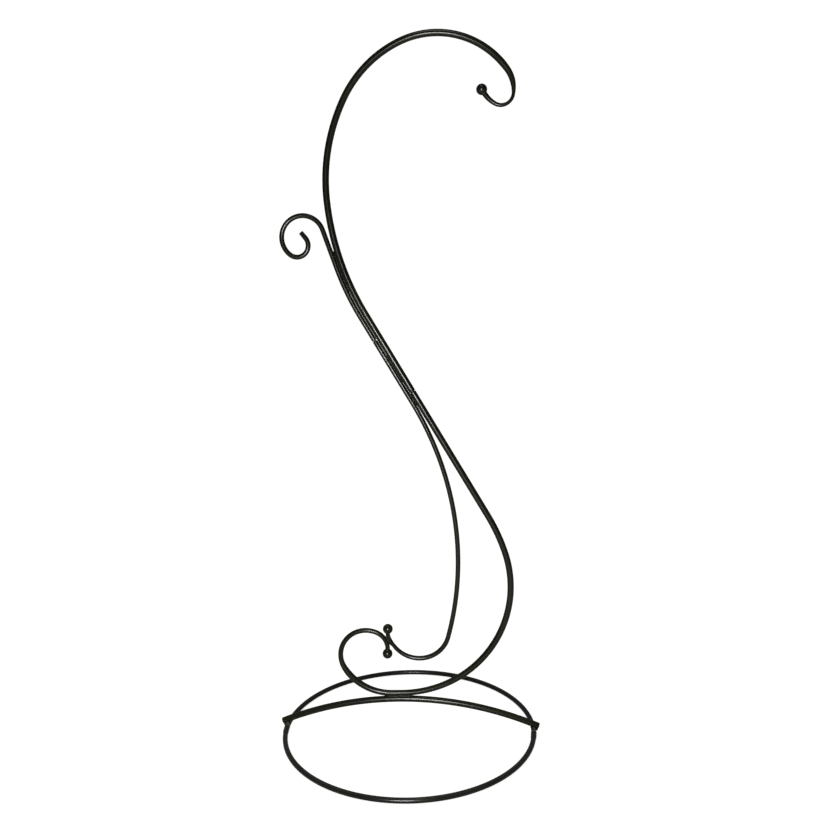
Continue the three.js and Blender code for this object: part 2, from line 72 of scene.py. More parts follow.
@dataclass(frozen=True)
class Pose:
    """A place on a flat centreline and the way it heads there, in radians."""

    x: float
    y: float
    heading: float

    def advanced(self, curvature: float, run: float) -> Pose:
        """The pose after a run along a straight or an arc.

        Args:
            curvature: One over the bend radius, positive to the left, 0 when straight.
            run: Length along the line.

        Returns:
            The pose at the end of the run.
        """
        heading = self.heading + curvature * run
        if curvature == 0:
            x = self.x + run * math.cos(heading)
            return Pose(x, self.y + run * math.sin(heading), heading)
        x = self.x + (math.sin(heading) - math.sin(self.heading)) / curvature
        y = self.y - (math.cos(heading) - math.cos(self.heading)) / curvature
        return Pose(x, y, heading)

    def beside(self, distance: float) -> Pose:
        """The pose that distance to the left, with the same heading."""
        x = self.x - distance * math.sin(self.heading)
        return Pose(x, self.y + distance * math.cos(self.heading), self.heading)

    def reversed(self) -> Pose:
        """The same place, heading the other way."""
        return Pose(self.x, self.y, self.heading + math.pi)


@dataclass(frozen=True)
class Bend:
    """One bend: its centreline radius and how far it turns, in degrees."""

    radius: float
    turn: float

    @property
    def length(self) -> float:
        """Length of the bent centreline."""
        return self.radius * math.radians(abs(self.turn))


@dataclass(frozen=True)
class Stretch:
    """A straight or an arc of a centreline, between two places on it."""

    start: float
    end: float
    pose: Pose
    curvature: float


@dataclass(frozen=True)
class Plane:
    """The plane a tube is bent in; its left-hand side is `out`."""

    origin: Vector
    u: Vector
    v: Vector


UPRIGHT = Plane(Vector((0, 0, 0)), Vector((1, 0, 0)), Vector((0, 0, 1)))


@dataclass(frozen=True)
class Station:
    """A cross-section's centre, two directions across it, and its radius."""

    centre: Vector
    out: Vector
    side: Vector
    radius: float

    @property
    def along(self) -> Vector:
        """The way the centreline runs."""
        return self.out.cross(self.side)

    def reversed(self) -> Station:
        """The same cross-section of the line run the other way."""
        return Station(self.centre, self.out * -1, self.side, self.radius)


class Centreline:
    """Straights and bends that follow each other without a kink."""

    def __init__(self, plane: Plane, pose: Pose) -> None:
        """Start a line.

        Args:
            plane: The plane it lies in.
            pose: Where it starts and which way it heads.
        """
        self.plane = plane
        self.stretches: list[Stretch] = []
        self.start = 0.0
        self.end = 0.0
        self.tail = pose
        self.rests_on = math.inf  # a wider part is lifted, so that its underside stays level

    def _add(self, run: float, curvature: float) -> Centreline:
        """Adds one stretch to the end of the line.

        Args:
            run: Its length.
            curvature: One over its bend radius, positive to the left, 0 when straight.

        Returns:
            The line itself.
        """
        self.stretches.append(Stretch(self.end, self.end + run, self.tail, curvature))
        self.tail = self.tail.advanced(curvature, run)
        self.end += run
        return self

    def straight(self, run: float) -> Centreline:
        """Adds a straight of that length."""
        return self._add(run, 0.0)

    def bend(self, bend: Bend, sign: int = 1) -> Centreline:
        """Adds a bend, to the left when sign is 1 and to the right when it is -1."""
        return self._add(bend.length, math.copysign(1 / bend.radius, sign * bend.turn))

    def following(self, back: Centreline) -> Centreline:
        """Puts another line before this one's zero mark, run the other way.

        Args:
            back: The other line, which starts at the same place and heads the other way.

        Returns:
            The line itself.
        """
        turned = []
        for part in reversed(back.stretches):
            end = part.pose.advanced(part.curvature, part.end - part.start)
            turned.append(Stretch(-part.end, -part.start, end.reversed(), -part.curvature))
        self.stretches = turned + self.stretches
        self.start = -back.end
        return self

    def _stretch_at(self, place: float) -> Stretch:
        """The stretch that holds a place; beyond the end, the last one."""
        ahead = (part for part in self.stretches if place <= part.end)
        return next(ahead, self.stretches[-1])

    def pose(self, place: float) -> Pose:
        """The pose at a place."""
        part = self._stretch_at(place)
        return part.pose.advanced(part.curvature, place - part.start)

    def station(self, place: float, radius: float = 0.0) -> Station:
        """The cross-section at a place, with that radius.

        Args:
            place: Where on the line.
            radius: The wanted radius of the tube there.

        Returns:
            The station, whose skin lies a hair inside that radius.
        """
        pose = self.pose(place)
        plane = self.plane
        centre = plane.origin + plane.u * pose.x + plane.v * pose.y
        out = plane.v * math.cos(pose.heading) - plane.u * math.sin(pose.heading)
        side = plane.u.cross(plane.v)
        centre += side * max(radius - self.rests_on, 0.0)
        return Station(centre, out, side, max(radius - SKIN_INSET, 0.0))

    def places(self, low: float, high: float) -> list[float]:
        """Even places between two others, close together where the line bends.

        Args:
            low: The lower place.
            high: The higher place.

        Returns:
            The places strictly between low and high.
        """
        found = []
        for part in self.stretches:
            run = part.end - part.start
            step = LONGEST_STEP
            if part.curvature:
                radius = 1 / abs(part.curvature)
                step = min(step, 2 * radius * math.acos(1 - FINEST / radius))
            count = max(1, math.ceil(run / step))
            found += [part.start + run * index / count for index in range(count)]
        return [place for place in found if low + NEAR_KNOT < place < high - NEAR_KNOT]


Knot = tuple[float, float]
BeadRow = list[tuple[Station, float]]


def spread(steps: int) -> list[float]:
    """Even shares from -1 to 1."""
    return [2 * index / steps - 1 for index in range(steps + 1)]


def between(ends: tuple[float, float], share: float) -> float:
    """The value that lies that share of the way from the first end to the second."""
    return ends[0] + (ends[1] - ends[0]) * share


def rounded(place: float, sign: int, outer: float, corner: float) -> list[Knot]:
    """Knots round the edge of a square-cut end, from the end face to the tube's skin.

    Args:
        place: Where the end face lies.
        sign: 1 when the tube goes on to higher places, -1 to lower ones.
        outer: Radius of the skin.
        corner: Radius of the rounding.

    Returns:
        The knots, in the order from the face to the skin.
    """
    knots = []
    for index in range(CORNER_STEPS + 1):
        angle = math.pi / 2 * index / CORNER_STEPS
        lift = corner * (1 - math.cos(angle))
        knots.append((place + sign * lift, outer - corner * (1 - math.sin(angle))))
    return knots


@dataclass(frozen=True)
class Gap:
    """The gap between two tubes at one place, from the first tube's skin to the second's."""

    middle: Vector
    out: Vector
    side: Vector
    width: float
    radii: tuple[float, float]

    def groove(self, aside: float, cover: float) -> Station:
        """A bead's station in the groove beside the gap.

        Args:
            aside: How far to the side of the tubes' plane it lies.
            cover: How far it reaches over each tube's skin.

        Returns:
            The station; its radius is half the bead's width.
        """
        first, second = (radius - math.sqrt(radius**2 - aside**2) for radius in self.radii)
        centre = self.middle + self.side * aside + self.out * ((second - first) / 2)
        return Station(centre, self.out, self.side, (self.width + first + second) / 2 + cover)

    def fillet(self, sign: int, size: float) -> Station:
        """A thin bead's station on one tube's skin; the sign is -1 for the first tube."""
        centre = self.middle + self.out * (sign * self.width / 2)
        return Station(centre, self.out, self.side, size)


@dataclass(frozen=True)
class SeamWeld:
    """Sizes of a weld in the groove on both sides of two tubes.

    The last one holds what is left of aside, cover and depth at the weld's ends.
    """

    aside: float = 2.5
    cover: float = 0.32
    depth: float = 1.15
    core_depth: float = 2.0
    left_at_ends: tuple[float, float, float] = (0.7, 0.2, 0.5)

    def rows(self, gaps: list[Gap]) -> list[BeadRow]:
        """Rows of drops: one in each groove and one in the gap, all fading at both ends.

        Args:
            gaps: The gap at even steps along the weld.

        Returns:
            The rows.
        """
        rows = []
        for side in (-1, 0, 1):
            row = []
            for share, gap in zip(spread(len(gaps) - 1), gaps):
                full = math.sqrt(1 - share**2)
                aside, cover, depth = (between((left, 1), full) for left in self.left_at_ends)
                station = gap.groove(side * self.aside * aside, self.cover * cover)
                row.append((station, depth * (self.depth if side else self.core_depth)))
            rows.append(row)
        return rows


@dataclass(frozen=True)
class SlipJoint:
    """Sizes of a spigot and its socket, and where each of them is worn.

    The root is the fillet under the spigot, as places past the face and lifts over the neck.
    Wear is given as places past the seam, in the direction of the sign that spigot and socket
    take, and how worn the tube is there.
    """

    wall: float = 1.5
    clearance: float = 0.3
    length: float = 30.0
    spare: float = 2.0
    reveal: float = 1.5
    corner: float = 0.35
    chamfer: float = 0.8
    mouth: float = 0.3
    recess: float = 0.05
    root: tuple[Knot, ...] = ((0.45, 0.0), (0.12, 0.1), (0.0, 0.4))
    swell: float = 0.0
    swell_run: float = 18.0
    swell_fade: float = 10.0
    spigot_rub: tuple[Knot, ...] = ((-2.2, 0.0), (-1.2, 0.85), (0.0, 0.95), (1.4, 0.6), (2.0, 0.0))
    socket_rub: tuple[Knot, ...] = ((1.5, 0.95), (2.4, 0.85), (3.4, 0.0))

    def spigot(self, seam: float, sign: int, radius: float) -> list[Knot]:
        """Knots of the spigot, from its tip back to the tube's skin.

        Args:
            seam: Where the full tube ends.
            sign: 1 when the spigot points to higher places, -1 to lower ones.
            radius: Radius of the tube.

        Returns:
            The knots, tip first.
        """
        neck = radius - self.wall - self.clearance
        tip = seam + sign * (self.reveal + self.length)
        face = seam - sign * self.recess
        knots = [(tip, 0.0), (tip, neck - self.chamfer), (tip - sign * self.chamfer, neck)]
        knots += [(face + sign * past, neck + lift) for past, lift in self.root]
        return knots + rounded(face, -sign, radius, self.corner)

    def socket(self, seam: float, sign: int, radius: float) -> list[Knot]:
        """Knots of the socket, from the floor of its bore to the tube's skin.

        Args:
            seam: Where the other tube ends.
            sign: 1 when this tube goes on to higher places, -1 to lower ones.
            radius: Radius of the tube.

        Returns:
            The knots, floor first.
        """
        bore = radius - self.wall
        lip = seam + sign * self.reveal
        floor = lip + sign * (self.length + self.spare)
        mouth = self.mouth
        knots = [(floor, 0.0), (floor, bore), (lip + sign * mouth, bore), (lip, bore + mouth)]
        knots += rounded(lip, sign, radius + self.swell, self.corner)
        for index in range(SWELL_STEPS + 1 if self.swell else 0):
            share = index / SWELL_STEPS
            eased = (1 + math.cos(math.pi * share)) / 2
            place = lip + sign * (self.swell_run + self.swell_fade * share)
            knots.append((place, radius + self.swell * eased))
        return knots

    @staticmethod
    def rubs(worn: tuple[Knot, ...], seam: float, sign: int) -> list[Knot]:
        """Lays a spigot's or a socket's wear along its tube, in rising order."""
        return sorted((seam + sign * past, amount) for past, amount in worn)


# ---- Node trees ------------------------------------------------------------------------

Socket = bpy.types.NodeSocket


class Tree:
    """Short hand for the nodes of one tree."""

    def __init__(self, tree: bpy.types.NodeTree) -> None:
        """Take the tree."""
        self.tree = tree

    def node(self, kind: str, given: dict | None = None, **settings: object) -> bpy.types.Node:
        """Adds a node.

        Args:
            kind: Type of the node.
            given: What goes into its inputs, as `feed` takes it.
            settings: Its properties.

        Returns:
            The node.
        """
        made = self.tree.nodes.new(kind)
        for key, value in settings.items():
            setattr(made, key, value)
        self.feed(made, given or {})
        return made

    def feed(self, node: bpy.types.Node, given: dict) -> None:
        """Links or sets inputs of a node.

        Args:
            node: The node.
            given: By an input's name or number, a socket, a plain value, or a node, which
                stands for its first output.
        """
        for key, value in given.items():
            if isinstance(value, bpy.types.Node):
                value = value.outputs[0]
            if isinstance(value, Socket):
                self.tree.links.new(value, node.inputs[key])
            else:
                node.inputs[key].default_value = value

    def math(self, operation: str, *values: object) -> Socket:
        """Adds a math node on sockets or numbers."""
        return self.node("ShaderNodeMath", dict(enumerate(values)), operation=operation).outputs[0]

    def vector_math(self, operation: str, first: Socket, second: Socket) -> Socket:
        """Adds a vector math node; SCALE takes a number as its second value."""
        given = {0: first, "Scale" if operation == "SCALE" else 1: second}
        return self.node("ShaderNodeVectorMath", given, operation=operation).outputs[0]

    def attribute(self, name: str, kind: str) -> Socket:
        """A named attribute of the mesh that a geometry tree reads."""
        made = self.node("GeometryNodeInputNamedAttribute", {"Name": name}, data_type=kind)
        return made.outputs["Attribute"]

    def noise(self, where: Socket, scale: object, octaves: float) -> Socket:
        """Adds a noise texture on those coordinates."""
        given = {"Vector": where, "Scale": scale, "Detail": octaves}
        return self.node("ShaderNodeTexNoise", given).outputs[0]

    def ramp(self, value: Socket, ends: tuple[float, float]) -> Socket:
        """Maps the first end to 0 and the second to 1, smoothly and within them."""
        given = {"Value": value, "From Min": ends[0], "From Max": ends[1]}
        return self.node("ShaderNodeMapRange", given, interpolation_type="SMOOTHSTEP").outputs[0]

    def mix(self, mask: object, under: object, over: object) -> Socket:
        """Lays one colour over another by a mask."""
        given = {"Factor": mask, 6: under, 7: over}
        return self.node("ShaderNodeMix", given, data_type="RGBA").outputs[2]


class Group(Tree):
    """A tree of its own, with named inputs and outputs."""

    def __init__(self, name: str, kind: str, inputs: tuple, outputs: tuple) -> None:
        """Make the tree and its sockets.

        Args:
            name: Name of the tree.
            kind: Type of the tree, such as GeometryNodeTree.
            inputs: Name and type of each input, and its default value where it has one.
            outputs: Name and type of each output.
        """
        super().__init__(bpy.data.node_groups.new(name, kind))
        self.identifiers: dict[str, str] = {}
        for way, sockets in (("INPUT", inputs), ("OUTPUT", outputs)):
            for label, data, *default in sockets:
                made = self.tree.interface.new_socket(
                    name=label, in_out=way, socket_type=f"NodeSocket{data}")
                self.identifiers[label] = made.identifier
                if default:
                    made.default_value = default[0]
        self.given = self.node("NodeGroupInput").outputs
        self.end = self.node("NodeGroupOutput")


class SkinTree:
    """Geometry nodes that lay a closed skin over a row of cross-sections.

    The base mesh holds one loose point for each cross-section, with its directions, radius
    and rub as attributes. A grid gets one row of points for each of them.
    """

    def __init__(self) -> None:
        """Build the tree once, for every tube and ball."""
        inputs = (("Stations", "Geometry"), ("Rows", "Int", 2), ("Sides", "Int", 32),
                  ("Join Distance", "Float", 1e-6), ("Finish", "Material"))
        outputs = (("Skin", "Geometry"),)
        self.build = Group("skin_over_stations", "GeometryNodeTree", inputs, outputs)
        self._wire()

    def _at_row(self, row: Socket, kind: str, name: str) -> Socket:
        """An attribute of the base mesh at a row.

        Args:
            row: Which point of the base mesh to read.
            kind: FLOAT or FLOAT_VECTOR.
            name: Name of the attribute.

        Returns:
            The value's socket.
        """
        value = self.build.attribute(name, kind)
        given = {"Geometry": self.build.given["Stations"], "Value": value, "Index": row}
        return self.build.node("GeometryNodeSampleIndex", given, data_type=kind).outputs["Value"]

    def _wire(self) -> None:
        """Makes and links the nodes."""
        build = self.build
        given = build.given
        columns = build.math("ADD", given["Sides"], 1.0)
        index = build.node("GeometryNodeInputIndex").outputs[0]
        half_on = build.math("ADD", index, 0.5)  # so that rounding can't put it a row back
        row = build.math("FLOOR", build.math("DIVIDE", half_on, columns))
        column = build.math("SUBTRACT", index, build.math("MULTIPLY", row, columns))
        angle = build.math("DIVIDE", build.math("MULTIPLY", column, math.tau), given["Sides"])
        centre, out, side = (self._at_row(row, "FLOAT_VECTOR", name)
                             for name in ("position", "out", "side"))
        radius, rub = (self._at_row(row, "FLOAT", name) for name in ("radius", "rub"))
        across = build.vector_math("SCALE", out, build.math("COSINE", angle))
        up = build.vector_math("SCALE", side, build.math("SINE", angle))
        reach = build.vector_math("SCALE", build.vector_math("ADD", across, up), radius)
        target = build.vector_math("ADD", centre, reach)
        grid = build.node("GeometryNodeMeshGrid",
                          {"Vertices X": given["Rows"], "Vertices Y": columns})
        stored = build.node("GeometryNodeStoreNamedAttribute",
                            {"Geometry": grid, "Name": "rub", "Value": rub},
                            data_type="FLOAT", domain="POINT")
        moved = build.node("GeometryNodeSetPosition", {"Geometry": stored, "Position": target})
        merged = build.node("GeometryNodeMergeByDistance",
                            {"Geometry": moved, "Distance": given["Join Distance"]})
        finish_tree(build, build.node("GeometryNodeFlipFaces", {"Mesh": merged}))

    def skin(self, name: str, rows: list[Station], rub: list[float], sides: int,
             finish: bpy.types.Material) -> bpy.types.Object:
        """Lay a skin over cross-sections.

        Args:
            name: Name of the piece.
            rows: The cross-sections, in millimetres.
            rub: How worn each of them is, from 0 up; bare metal shows from about 0.8.
            sides: Number of facets round the piece.
            finish: Its material.

        Returns:
            The finished mesh object.
        """
        mesh = base_mesh(name, [row.centre for row in rows], [], {
            "out": [row.out for row in rows],
            "side": [row.side for row in rows],
            "radius": [row.radius * MM for row in rows],
            "rub": rub,
        })
        values = {"Rows": len(rows), "Sides": sides, "Finish": finish}
        return settle(name, mesh, self.build, values)


class BeadTree:
    """Geometry nodes that lay a weld: a row of overlapping ripples fused into one bead.

    The base mesh is a line whose points hold the bead's width, depth and directions.
    """

    DROP_DETAIL = 4
    INNER_BAND = 0.003

    def __init__(self) -> None:
        """Build the tree once, for every weld."""
        inputs = (("Line", "Geometry"), ("Ripple Pitch", "Float", 0.0016),
                  ("Ripple Length", "Float", 1.5), ("Unevenness", "Float", 0.08),
                  ("Fineness", "Float", 0.0003), ("Crumb Points", "Int", 1500),
                  ("Seed", "Int", 7), ("Finish", "Material"))
        outputs = (("Bead", "Geometry"),)
        self.build = Group("rippled_bead", "GeometryNodeTree", inputs, outputs)
        self._wire()

    def _ripple_scale(self) -> Socket:
        """Length, width and depth of each ripple, with a little chance.

        Returns:
            The scale's socket.
        """
        build = self.build
        given = build.given
        low = build.math("SUBTRACT", 1.0, given["Unevenness"])
        high = build.math("ADD", 1.0, given["Unevenness"])
        chance = build.node("FunctionNodeRandomValue", {2: low, 3: high, "Seed": given["Seed"]},
                            data_type="FLOAT")
        reach = build.math("MULTIPLY", given["Ripple Pitch"], given["Ripple Length"])
        width, depth = (build.attribute(name, "FLOAT") for name in ("width", "depth"))
        size = build.node("ShaderNodeCombineXYZ", {0: reach, 1: width, 2: depth})
        return build.vector_math("SCALE", size.outputs[0], chance.outputs[1])

    def _wire(self) -> None:
        """Makes and links the nodes."""
        build = self.build
        given = build.given
        along, across = (build.attribute(name, "FLOAT_VECTOR") for name in ("along", "across"))
        curve = build.node("GeometryNodeMeshToCurve", {"Mesh": given["Line"]})
        even = build.node("GeometryNodeResampleCurve",
                          {"Curve": curve, "Length": given["Ripple Pitch"]}, mode="LENGTH")
        drop = build.node("GeometryNodeMeshIcoSphere",
                          {"Radius": 1.0, "Subdivisions": self.DROP_DETAIL})
        turn = build.node("FunctionNodeAxesToRotation",
                          {"Primary Axis": along, "Secondary Axis": across},
                          primary_axis="X", secondary_axis="Y")
        row = build.node("GeometryNodeInstanceOnPoints", {
            "Points": even, "Instance": drop, "Rotation": turn, "Scale": self._ripple_scale()})
        real = build.node("GeometryNodeRealizeInstances", {"Geometry": row})
        cloud = build.node("GeometryNodeMeshToVolume",
                           {"Mesh": real, "Voxel Size": given["Fineness"],
                            "Interior Band Width": self.INNER_BAND},
                           resolution_mode="VOXEL_SIZE")
        shell = build.node("GeometryNodeVolumeToMesh",
                           {"Volume": cloud, "Voxel Size": given["Fineness"], "Adaptivity": 0.0},
                           resolution_mode="VOXEL_SIZE")
        finish_tree(build, self._without_crumbs(shell))

    def _without_crumbs(self, shell: bpy.types.Node) -> bpy.types.Node:
        """Leaves out the loose crumbs that a fading end can make.

        Args:
            shell: The node that gives the fused bead.

        Returns:
            The node that gives the bead alone.
        """
        build = self.build
        island = build.node("GeometryNodeInputMeshIsland").outputs["Island Index"]
        points = build.node("GeometryNodeAccumulateField", {"Value": 1, "Group ID": island},
                            data_type="INT", domain="POINT").outputs["Total"]
        small = build.node("FunctionNodeCompare", {2: points, 3: build.given["Crumb Points"]},
                           data_type="INT", operation="LESS_THAN")
        return build.node("GeometryNodeDeleteGeometry", {"Geometry": shell, "Selection": small},
                          domain="POINT")

    def bead(self, name: str, rows: list[BeadRow], seed: int,
             finish: bpy.types.Material) -> bpy.types.Object:
        """Lay a weld bead along one or more lines.

        Args:
            name: Name of the piece.
            rows: For each line, its stations and half the bead's depth at each of them; a
                station's radius is half the bead's width.
            seed: Seed of the ripples' unevenness.
            finish: Its material.

        Returns:
            The finished mesh object.
        """
        points: BeadRow = []
        edges = []
        for row in rows:
            first = len(points)
            edges += [(first + step, first + step + 1) for step in range(len(row) - 1)]
            points += row
        mesh = base_mesh(name, [station.centre for station, _ in points], edges, {
            "along": [station.along for station, _ in points],
            "across": [station.out for station, _ in points],
            "width": [station.radius * MM for station, _ in points],
            "depth": [depth * MM for _, depth in points],
        })
        return settle(name, mesh, self.build, {"Seed": seed, "Finish": finish})


def finish_tree(build: Group, made: bpy.types.Node) -> None:
    """Ends a geometry tree: smooth shading, real geometry and the material.

    Args:
        build: The tree.
        made: The node that gives the shape.
    """
    smooth = build.node("GeometryNodeSetShadeSmooth", {"Geometry": made})
    real = build.node("GeometryNodeRealizeInstances", {"Geometry": smooth})
    coat = build.node("GeometryNodeSetMaterial",
                      {"Geometry": real, "Material": build.given["Finish"]})
    build.feed(build.end, {0: coat})


def base_mesh(name: str, points: list[Vector], edges: list[tuple[int, int]],
              fields: dict[str, list]) -> bpy.types.Mesh:
    """Makes the mesh that a geometry tree reads.

    Args:
        name: Name of the mesh.
        points: Its points, in millimetres.
        edges: Which of them are joined.
        fields: By attribute, a number or a vector for each point.

    Returns:
        The mesh.
    """
    mesh = bpy.data.meshes.new(name)
    mesh.from_pydata([tuple(point * MM) for point in points], edges, [])
    for label, values in fields.items():
        if isinstance(values[0], Vector):
            layer = mesh.attributes.new(label, "FLOAT_VECTOR", "POINT")
            layer.data.foreach_set("vector", [number for value in values for number in value])
        else:
            mesh.attributes.new(label, "FLOAT", "POINT").data.foreach_set("value", values)
    return mesh


def shown(name: str, data: bpy.types.ID) -> bpy.types.Object:
    """Makes an object of a mesh, a lamp or a camera, and puts it in the scene.

    Args:
        name: Name of the object.
        data: The mesh, lamp or camera.

    Returns:
        The object.
    """
    made = bpy.data.objects.new(name, data)
    bpy.context.collection.objects.link(made)
    return made


def settle(name: str, base: bpy.types.Mesh, build: Group, values: dict) -> bpy.types.Object:
    """Runs a geometry tree on a mesh and keeps the result as a plain mesh.

    Args:
        name: Name of the piece.
        base: The mesh that the tree reads.
        build: The geometry tree.
        values: Its inputs by name.

    Returns:
        The finished object, at the origin.
    """
    piece = shown(name, base)
    modifier = piece.modifiers.new("shape", "NODES")
    modifier.node_group = build.tree
    for key, value in values.items():
        modifier[build.identifiers[key]] = value
    graph = bpy.context.evaluated_depsgraph_get()
    made = bpy.data.meshes.new_from_object(piece.evaluated_get(graph), depsgraph=graph)
    made.name = name
    piece.modifiers.clear()
    piece.data = made
    made.set_sharp_from_angle(angle=math.radians(SHARP_TURN))
    return piece


# ---- Finishes --------------------------------------------------------------------------


class Place(Enum):
    """Where a finish is worn."""

    TUBE = "tube"
    BALL = "ball"
    WELD = "weld"
    BASE = "base"


class ShaderGroups:
    """Surface effects that the finishes share, each built once."""

    DRIFT_ENDS = (0.36, 0.64)
    WORN_ENDS = (0.42, 0.62)
    FACING_UP = (0.35, 1.0)
    GLOSS_PATCHES = 60.0
    DUST_PATCHES = 240.0

    def __init__(self) -> None:
        """Build the groups."""
        self.drift = self._colour_drift()
        self.peel = self._orange_peel()
        self.rubbed = self._rubbed_edges()
        self.dust = self._settled_dust()

    @staticmethod
    def _group(name: str, inputs: tuple, outputs: tuple) -> Group:
        """Starts a group that is given the coordinates first."""
        return Group(name, "ShaderNodeTree", (("Where", "Vector"), *inputs), outputs)

    def _colour_drift(self) -> bpy.types.NodeTree:
        """Two shades of one coat that drift into each other along a piece.

        Returns:
            The group.
        """
        inputs = (("Dark Shade", "Color", (0.02, 0.02, 0.02, 1)),
                  ("Warm Shade", "Color", (0.03, 0.03, 0.02, 1)), ("Patch Scale", "Float", 9.0))
        build = self._group("colour_drift", inputs, (("Shade", "Color"),))
        given = build.given
        slow = build.ramp(build.noise(given["Where"], given["Patch Scale"], 2.0), self.DRIFT_ENDS)
        build.feed(build.end, {"Shade": build.mix(slow, given["Dark Shade"], given["Warm Shade"])})
        return build.tree

    def _orange_peel(self) -> bpy.types.NodeTree:
        """The faint waves and pin-pricks of baked powder, as a height and a gloss change.

        Returns:
            The group.
        """
        inputs = (("Wave Scale", "Float", 420.0), ("Grain Scale", "Float", 1500.0),
                  ("Grain Share", "Float", 0.35))
        build = self._group("orange_peel", inputs, (("Height", "Float"), ("Gloss Change", "Float")))
        given = build.given
        wave = build.noise(given["Where"], given["Wave Scale"], 1.0)
        grain = build.noise(given["Where"], given["Grain Scale"], 2.0)
        height = build.math("ADD", wave, build.math("MULTIPLY", grain, given["Grain Share"]))
        slow = build.noise(given["Where"], self.GLOSS_PATCHES, 3.0)
        change = build.math("SUBTRACT", slow, 0.5)
        build.feed(build.end, {"Height": height, "Gloss Change": change})
        return build.tree

    def _rubbed_edges(self) -> bpy.types.NodeTree:
        """A broken mask where a piece's own rub attribute says that it is worn.

        Returns:
            The group.
        """
        inputs = (("Rub", "Float", 0.0), ("Breakup Scale", "Float", 700.0),
                  ("Amount", "Float", 0.5))
        build = self._group("rubbed_edges", inputs, (("Mask", "Float"),))
        given = build.given
        broken = build.noise(given["Where"], given["Breakup Scale"], 3.0)
        worn = build.math("ADD", broken, build.math("SUBTRACT", given["Rub"], 1.0))
        mask = build.math("MULTIPLY", build.ramp(worn, self.WORN_ENDS), given["Amount"])
        build.feed(build.end, {"Mask": mask})
        return build.tree

    def _settled_dust(self) -> bpy.types.NodeTree:
        """A thin patchy film on what faces up.

        Returns:
            The group.
        """
        build = self._group("settled_dust", (("Amount", "Float", 0.1),), (("Mask", "Float"),))
        given = build.given
        normal = build.node("ShaderNodeNewGeometry").outputs["Normal"]
        up = build.node("ShaderNodeSeparateXYZ", {0: normal}).outputs["Z"]
        patch = build.noise(given["Where"], self.DUST_PATCHES, 4.0)
        film = build.math("MULTIPLY", build.ramp(up, self.FACING_UP), patch)
        build.feed(build.end, {"Mask": build.math("MULTIPLY", film, given["Amount"])})
        return build.tree


@dataclass(frozen=True)
class PowderCoat:
    """Baked black powder over steel."""

    name: str
    dark: tuple[float, float, float] = (0.0046, 0.0048, 0.0014)
    warm: tuple[float, float, float] = (0.0104, 0.0107, 0.0024)
    rubbed: tuple[float, float, float] = (0.36, 0.345, 0.31)
    dust: tuple[float, float, float] = (0.19, 0.18, 0.16)
    roughness: float = 0.24
    gloss_change: float = 0.12
    wave_scale: float = 430.0
    grain_scale: float = 1600.0
    peel_depth: float = 0.00007
    peel_strength: float = 0.3
    rub_amount: float = 0.6
    rub_matt: float = 0.12
    dust_amount: float = 0.10
    refraction: float = 1.5
    clear: float = 0.08
    clear_roughness: float = 0.16

    def material(self, groups: ShaderGroups) -> bpy.types.Material:
        """Build the material.

        Args:
            groups: The shared surface effects.

        Returns:
            The material.
        """
        made = bpy.data.materials.new(self.name)
        made.use_nodes = True
        made.diffuse_color = (*self.warm, 1)
        wiring = CoatWiring(self, made, groups)
        wiring.gloss(wiring.colour())
        return made


class CoatWiring:
    """Places the shared groups in one powder coat's material."""

    def __init__(self, coat: PowderCoat, material: bpy.types.Material,
                 groups: ShaderGroups) -> None:
        """Take the material's tree and set the shader's own values.

        Args:
            coat: The finish.
            material: The material to wire.
            groups: The shared surface effects.
        """
        self.coat = coat
        self.groups = groups
        self.build = Tree(material.node_tree)
        self.where = self.build.node("ShaderNodeTexCoord").outputs["Object"]
        self.shader = material.node_tree.nodes["Principled BSDF"]
        self.build.feed(self.shader, {"IOR": coat.refraction, "Coat Weight": coat.clear,
                                      "Coat Roughness": coat.clear_roughness})

    def _place(self, group: bpy.types.NodeTree, given: dict) -> bpy.types.Node:
        """Adds a shared group with its own values."""
        given = {"Where": self.where, **given}
        return self.build.node("ShaderNodeGroup", given, node_tree=group)

    def colour(self) -> Socket:
        """Wires the colour.

        Returns:
            The mask of what is rubbed.
        """
        coat, build = self.coat, self.build
        shades = {"Dark Shade": (*coat.dark, 1), "Warm Shade": (*coat.warm, 1)}
        drift = self._place(self.groups.drift, shades)
        worn = build.node("ShaderNodeAttribute", attribute_name="rub").outputs["Fac"]
        rub = self._place(self.groups.rubbed, {"Rub": worn, "Amount": coat.rub_amount})
        dust = self._place(self.groups.dust, {"Amount": coat.dust_amount})
        shade = build.mix(rub, drift, (*coat.rubbed, 1))
        build.feed(self.shader, {"Base Color": build.mix(dust, shade, (*coat.dust, 1))})
        return rub.outputs["Mask"]

    def gloss(self, rub: Socket) -> None:
        """Wires roughness and the height of the coat's texture.

        Args:
            rub: Mask of what is rubbed.
        """
        coat, build = self.coat, self.build
        scales = {"Wave Scale": coat.wave_scale, "Grain Scale": coat.grain_scale}
        peel = self._place(self.groups.peel, scales).outputs
        change = build.math("MULTIPLY", peel["Gloss Change"], coat.gloss_change)
        rough = build.math("ADD", change, coat.roughness)
        matt = build.math("MULTIPLY", rub, coat.rub_matt)
        bump = build.node("ShaderNodeBump", {
            "Strength": coat.peel_strength, "Distance": coat.peel_depth, "Height": peel["Height"]})
        build.feed(self.shader, {"Roughness": build.math("ADD", rough, matt), "Normal": bump})


# ---- Workshop --------------------------------------------------------------------------


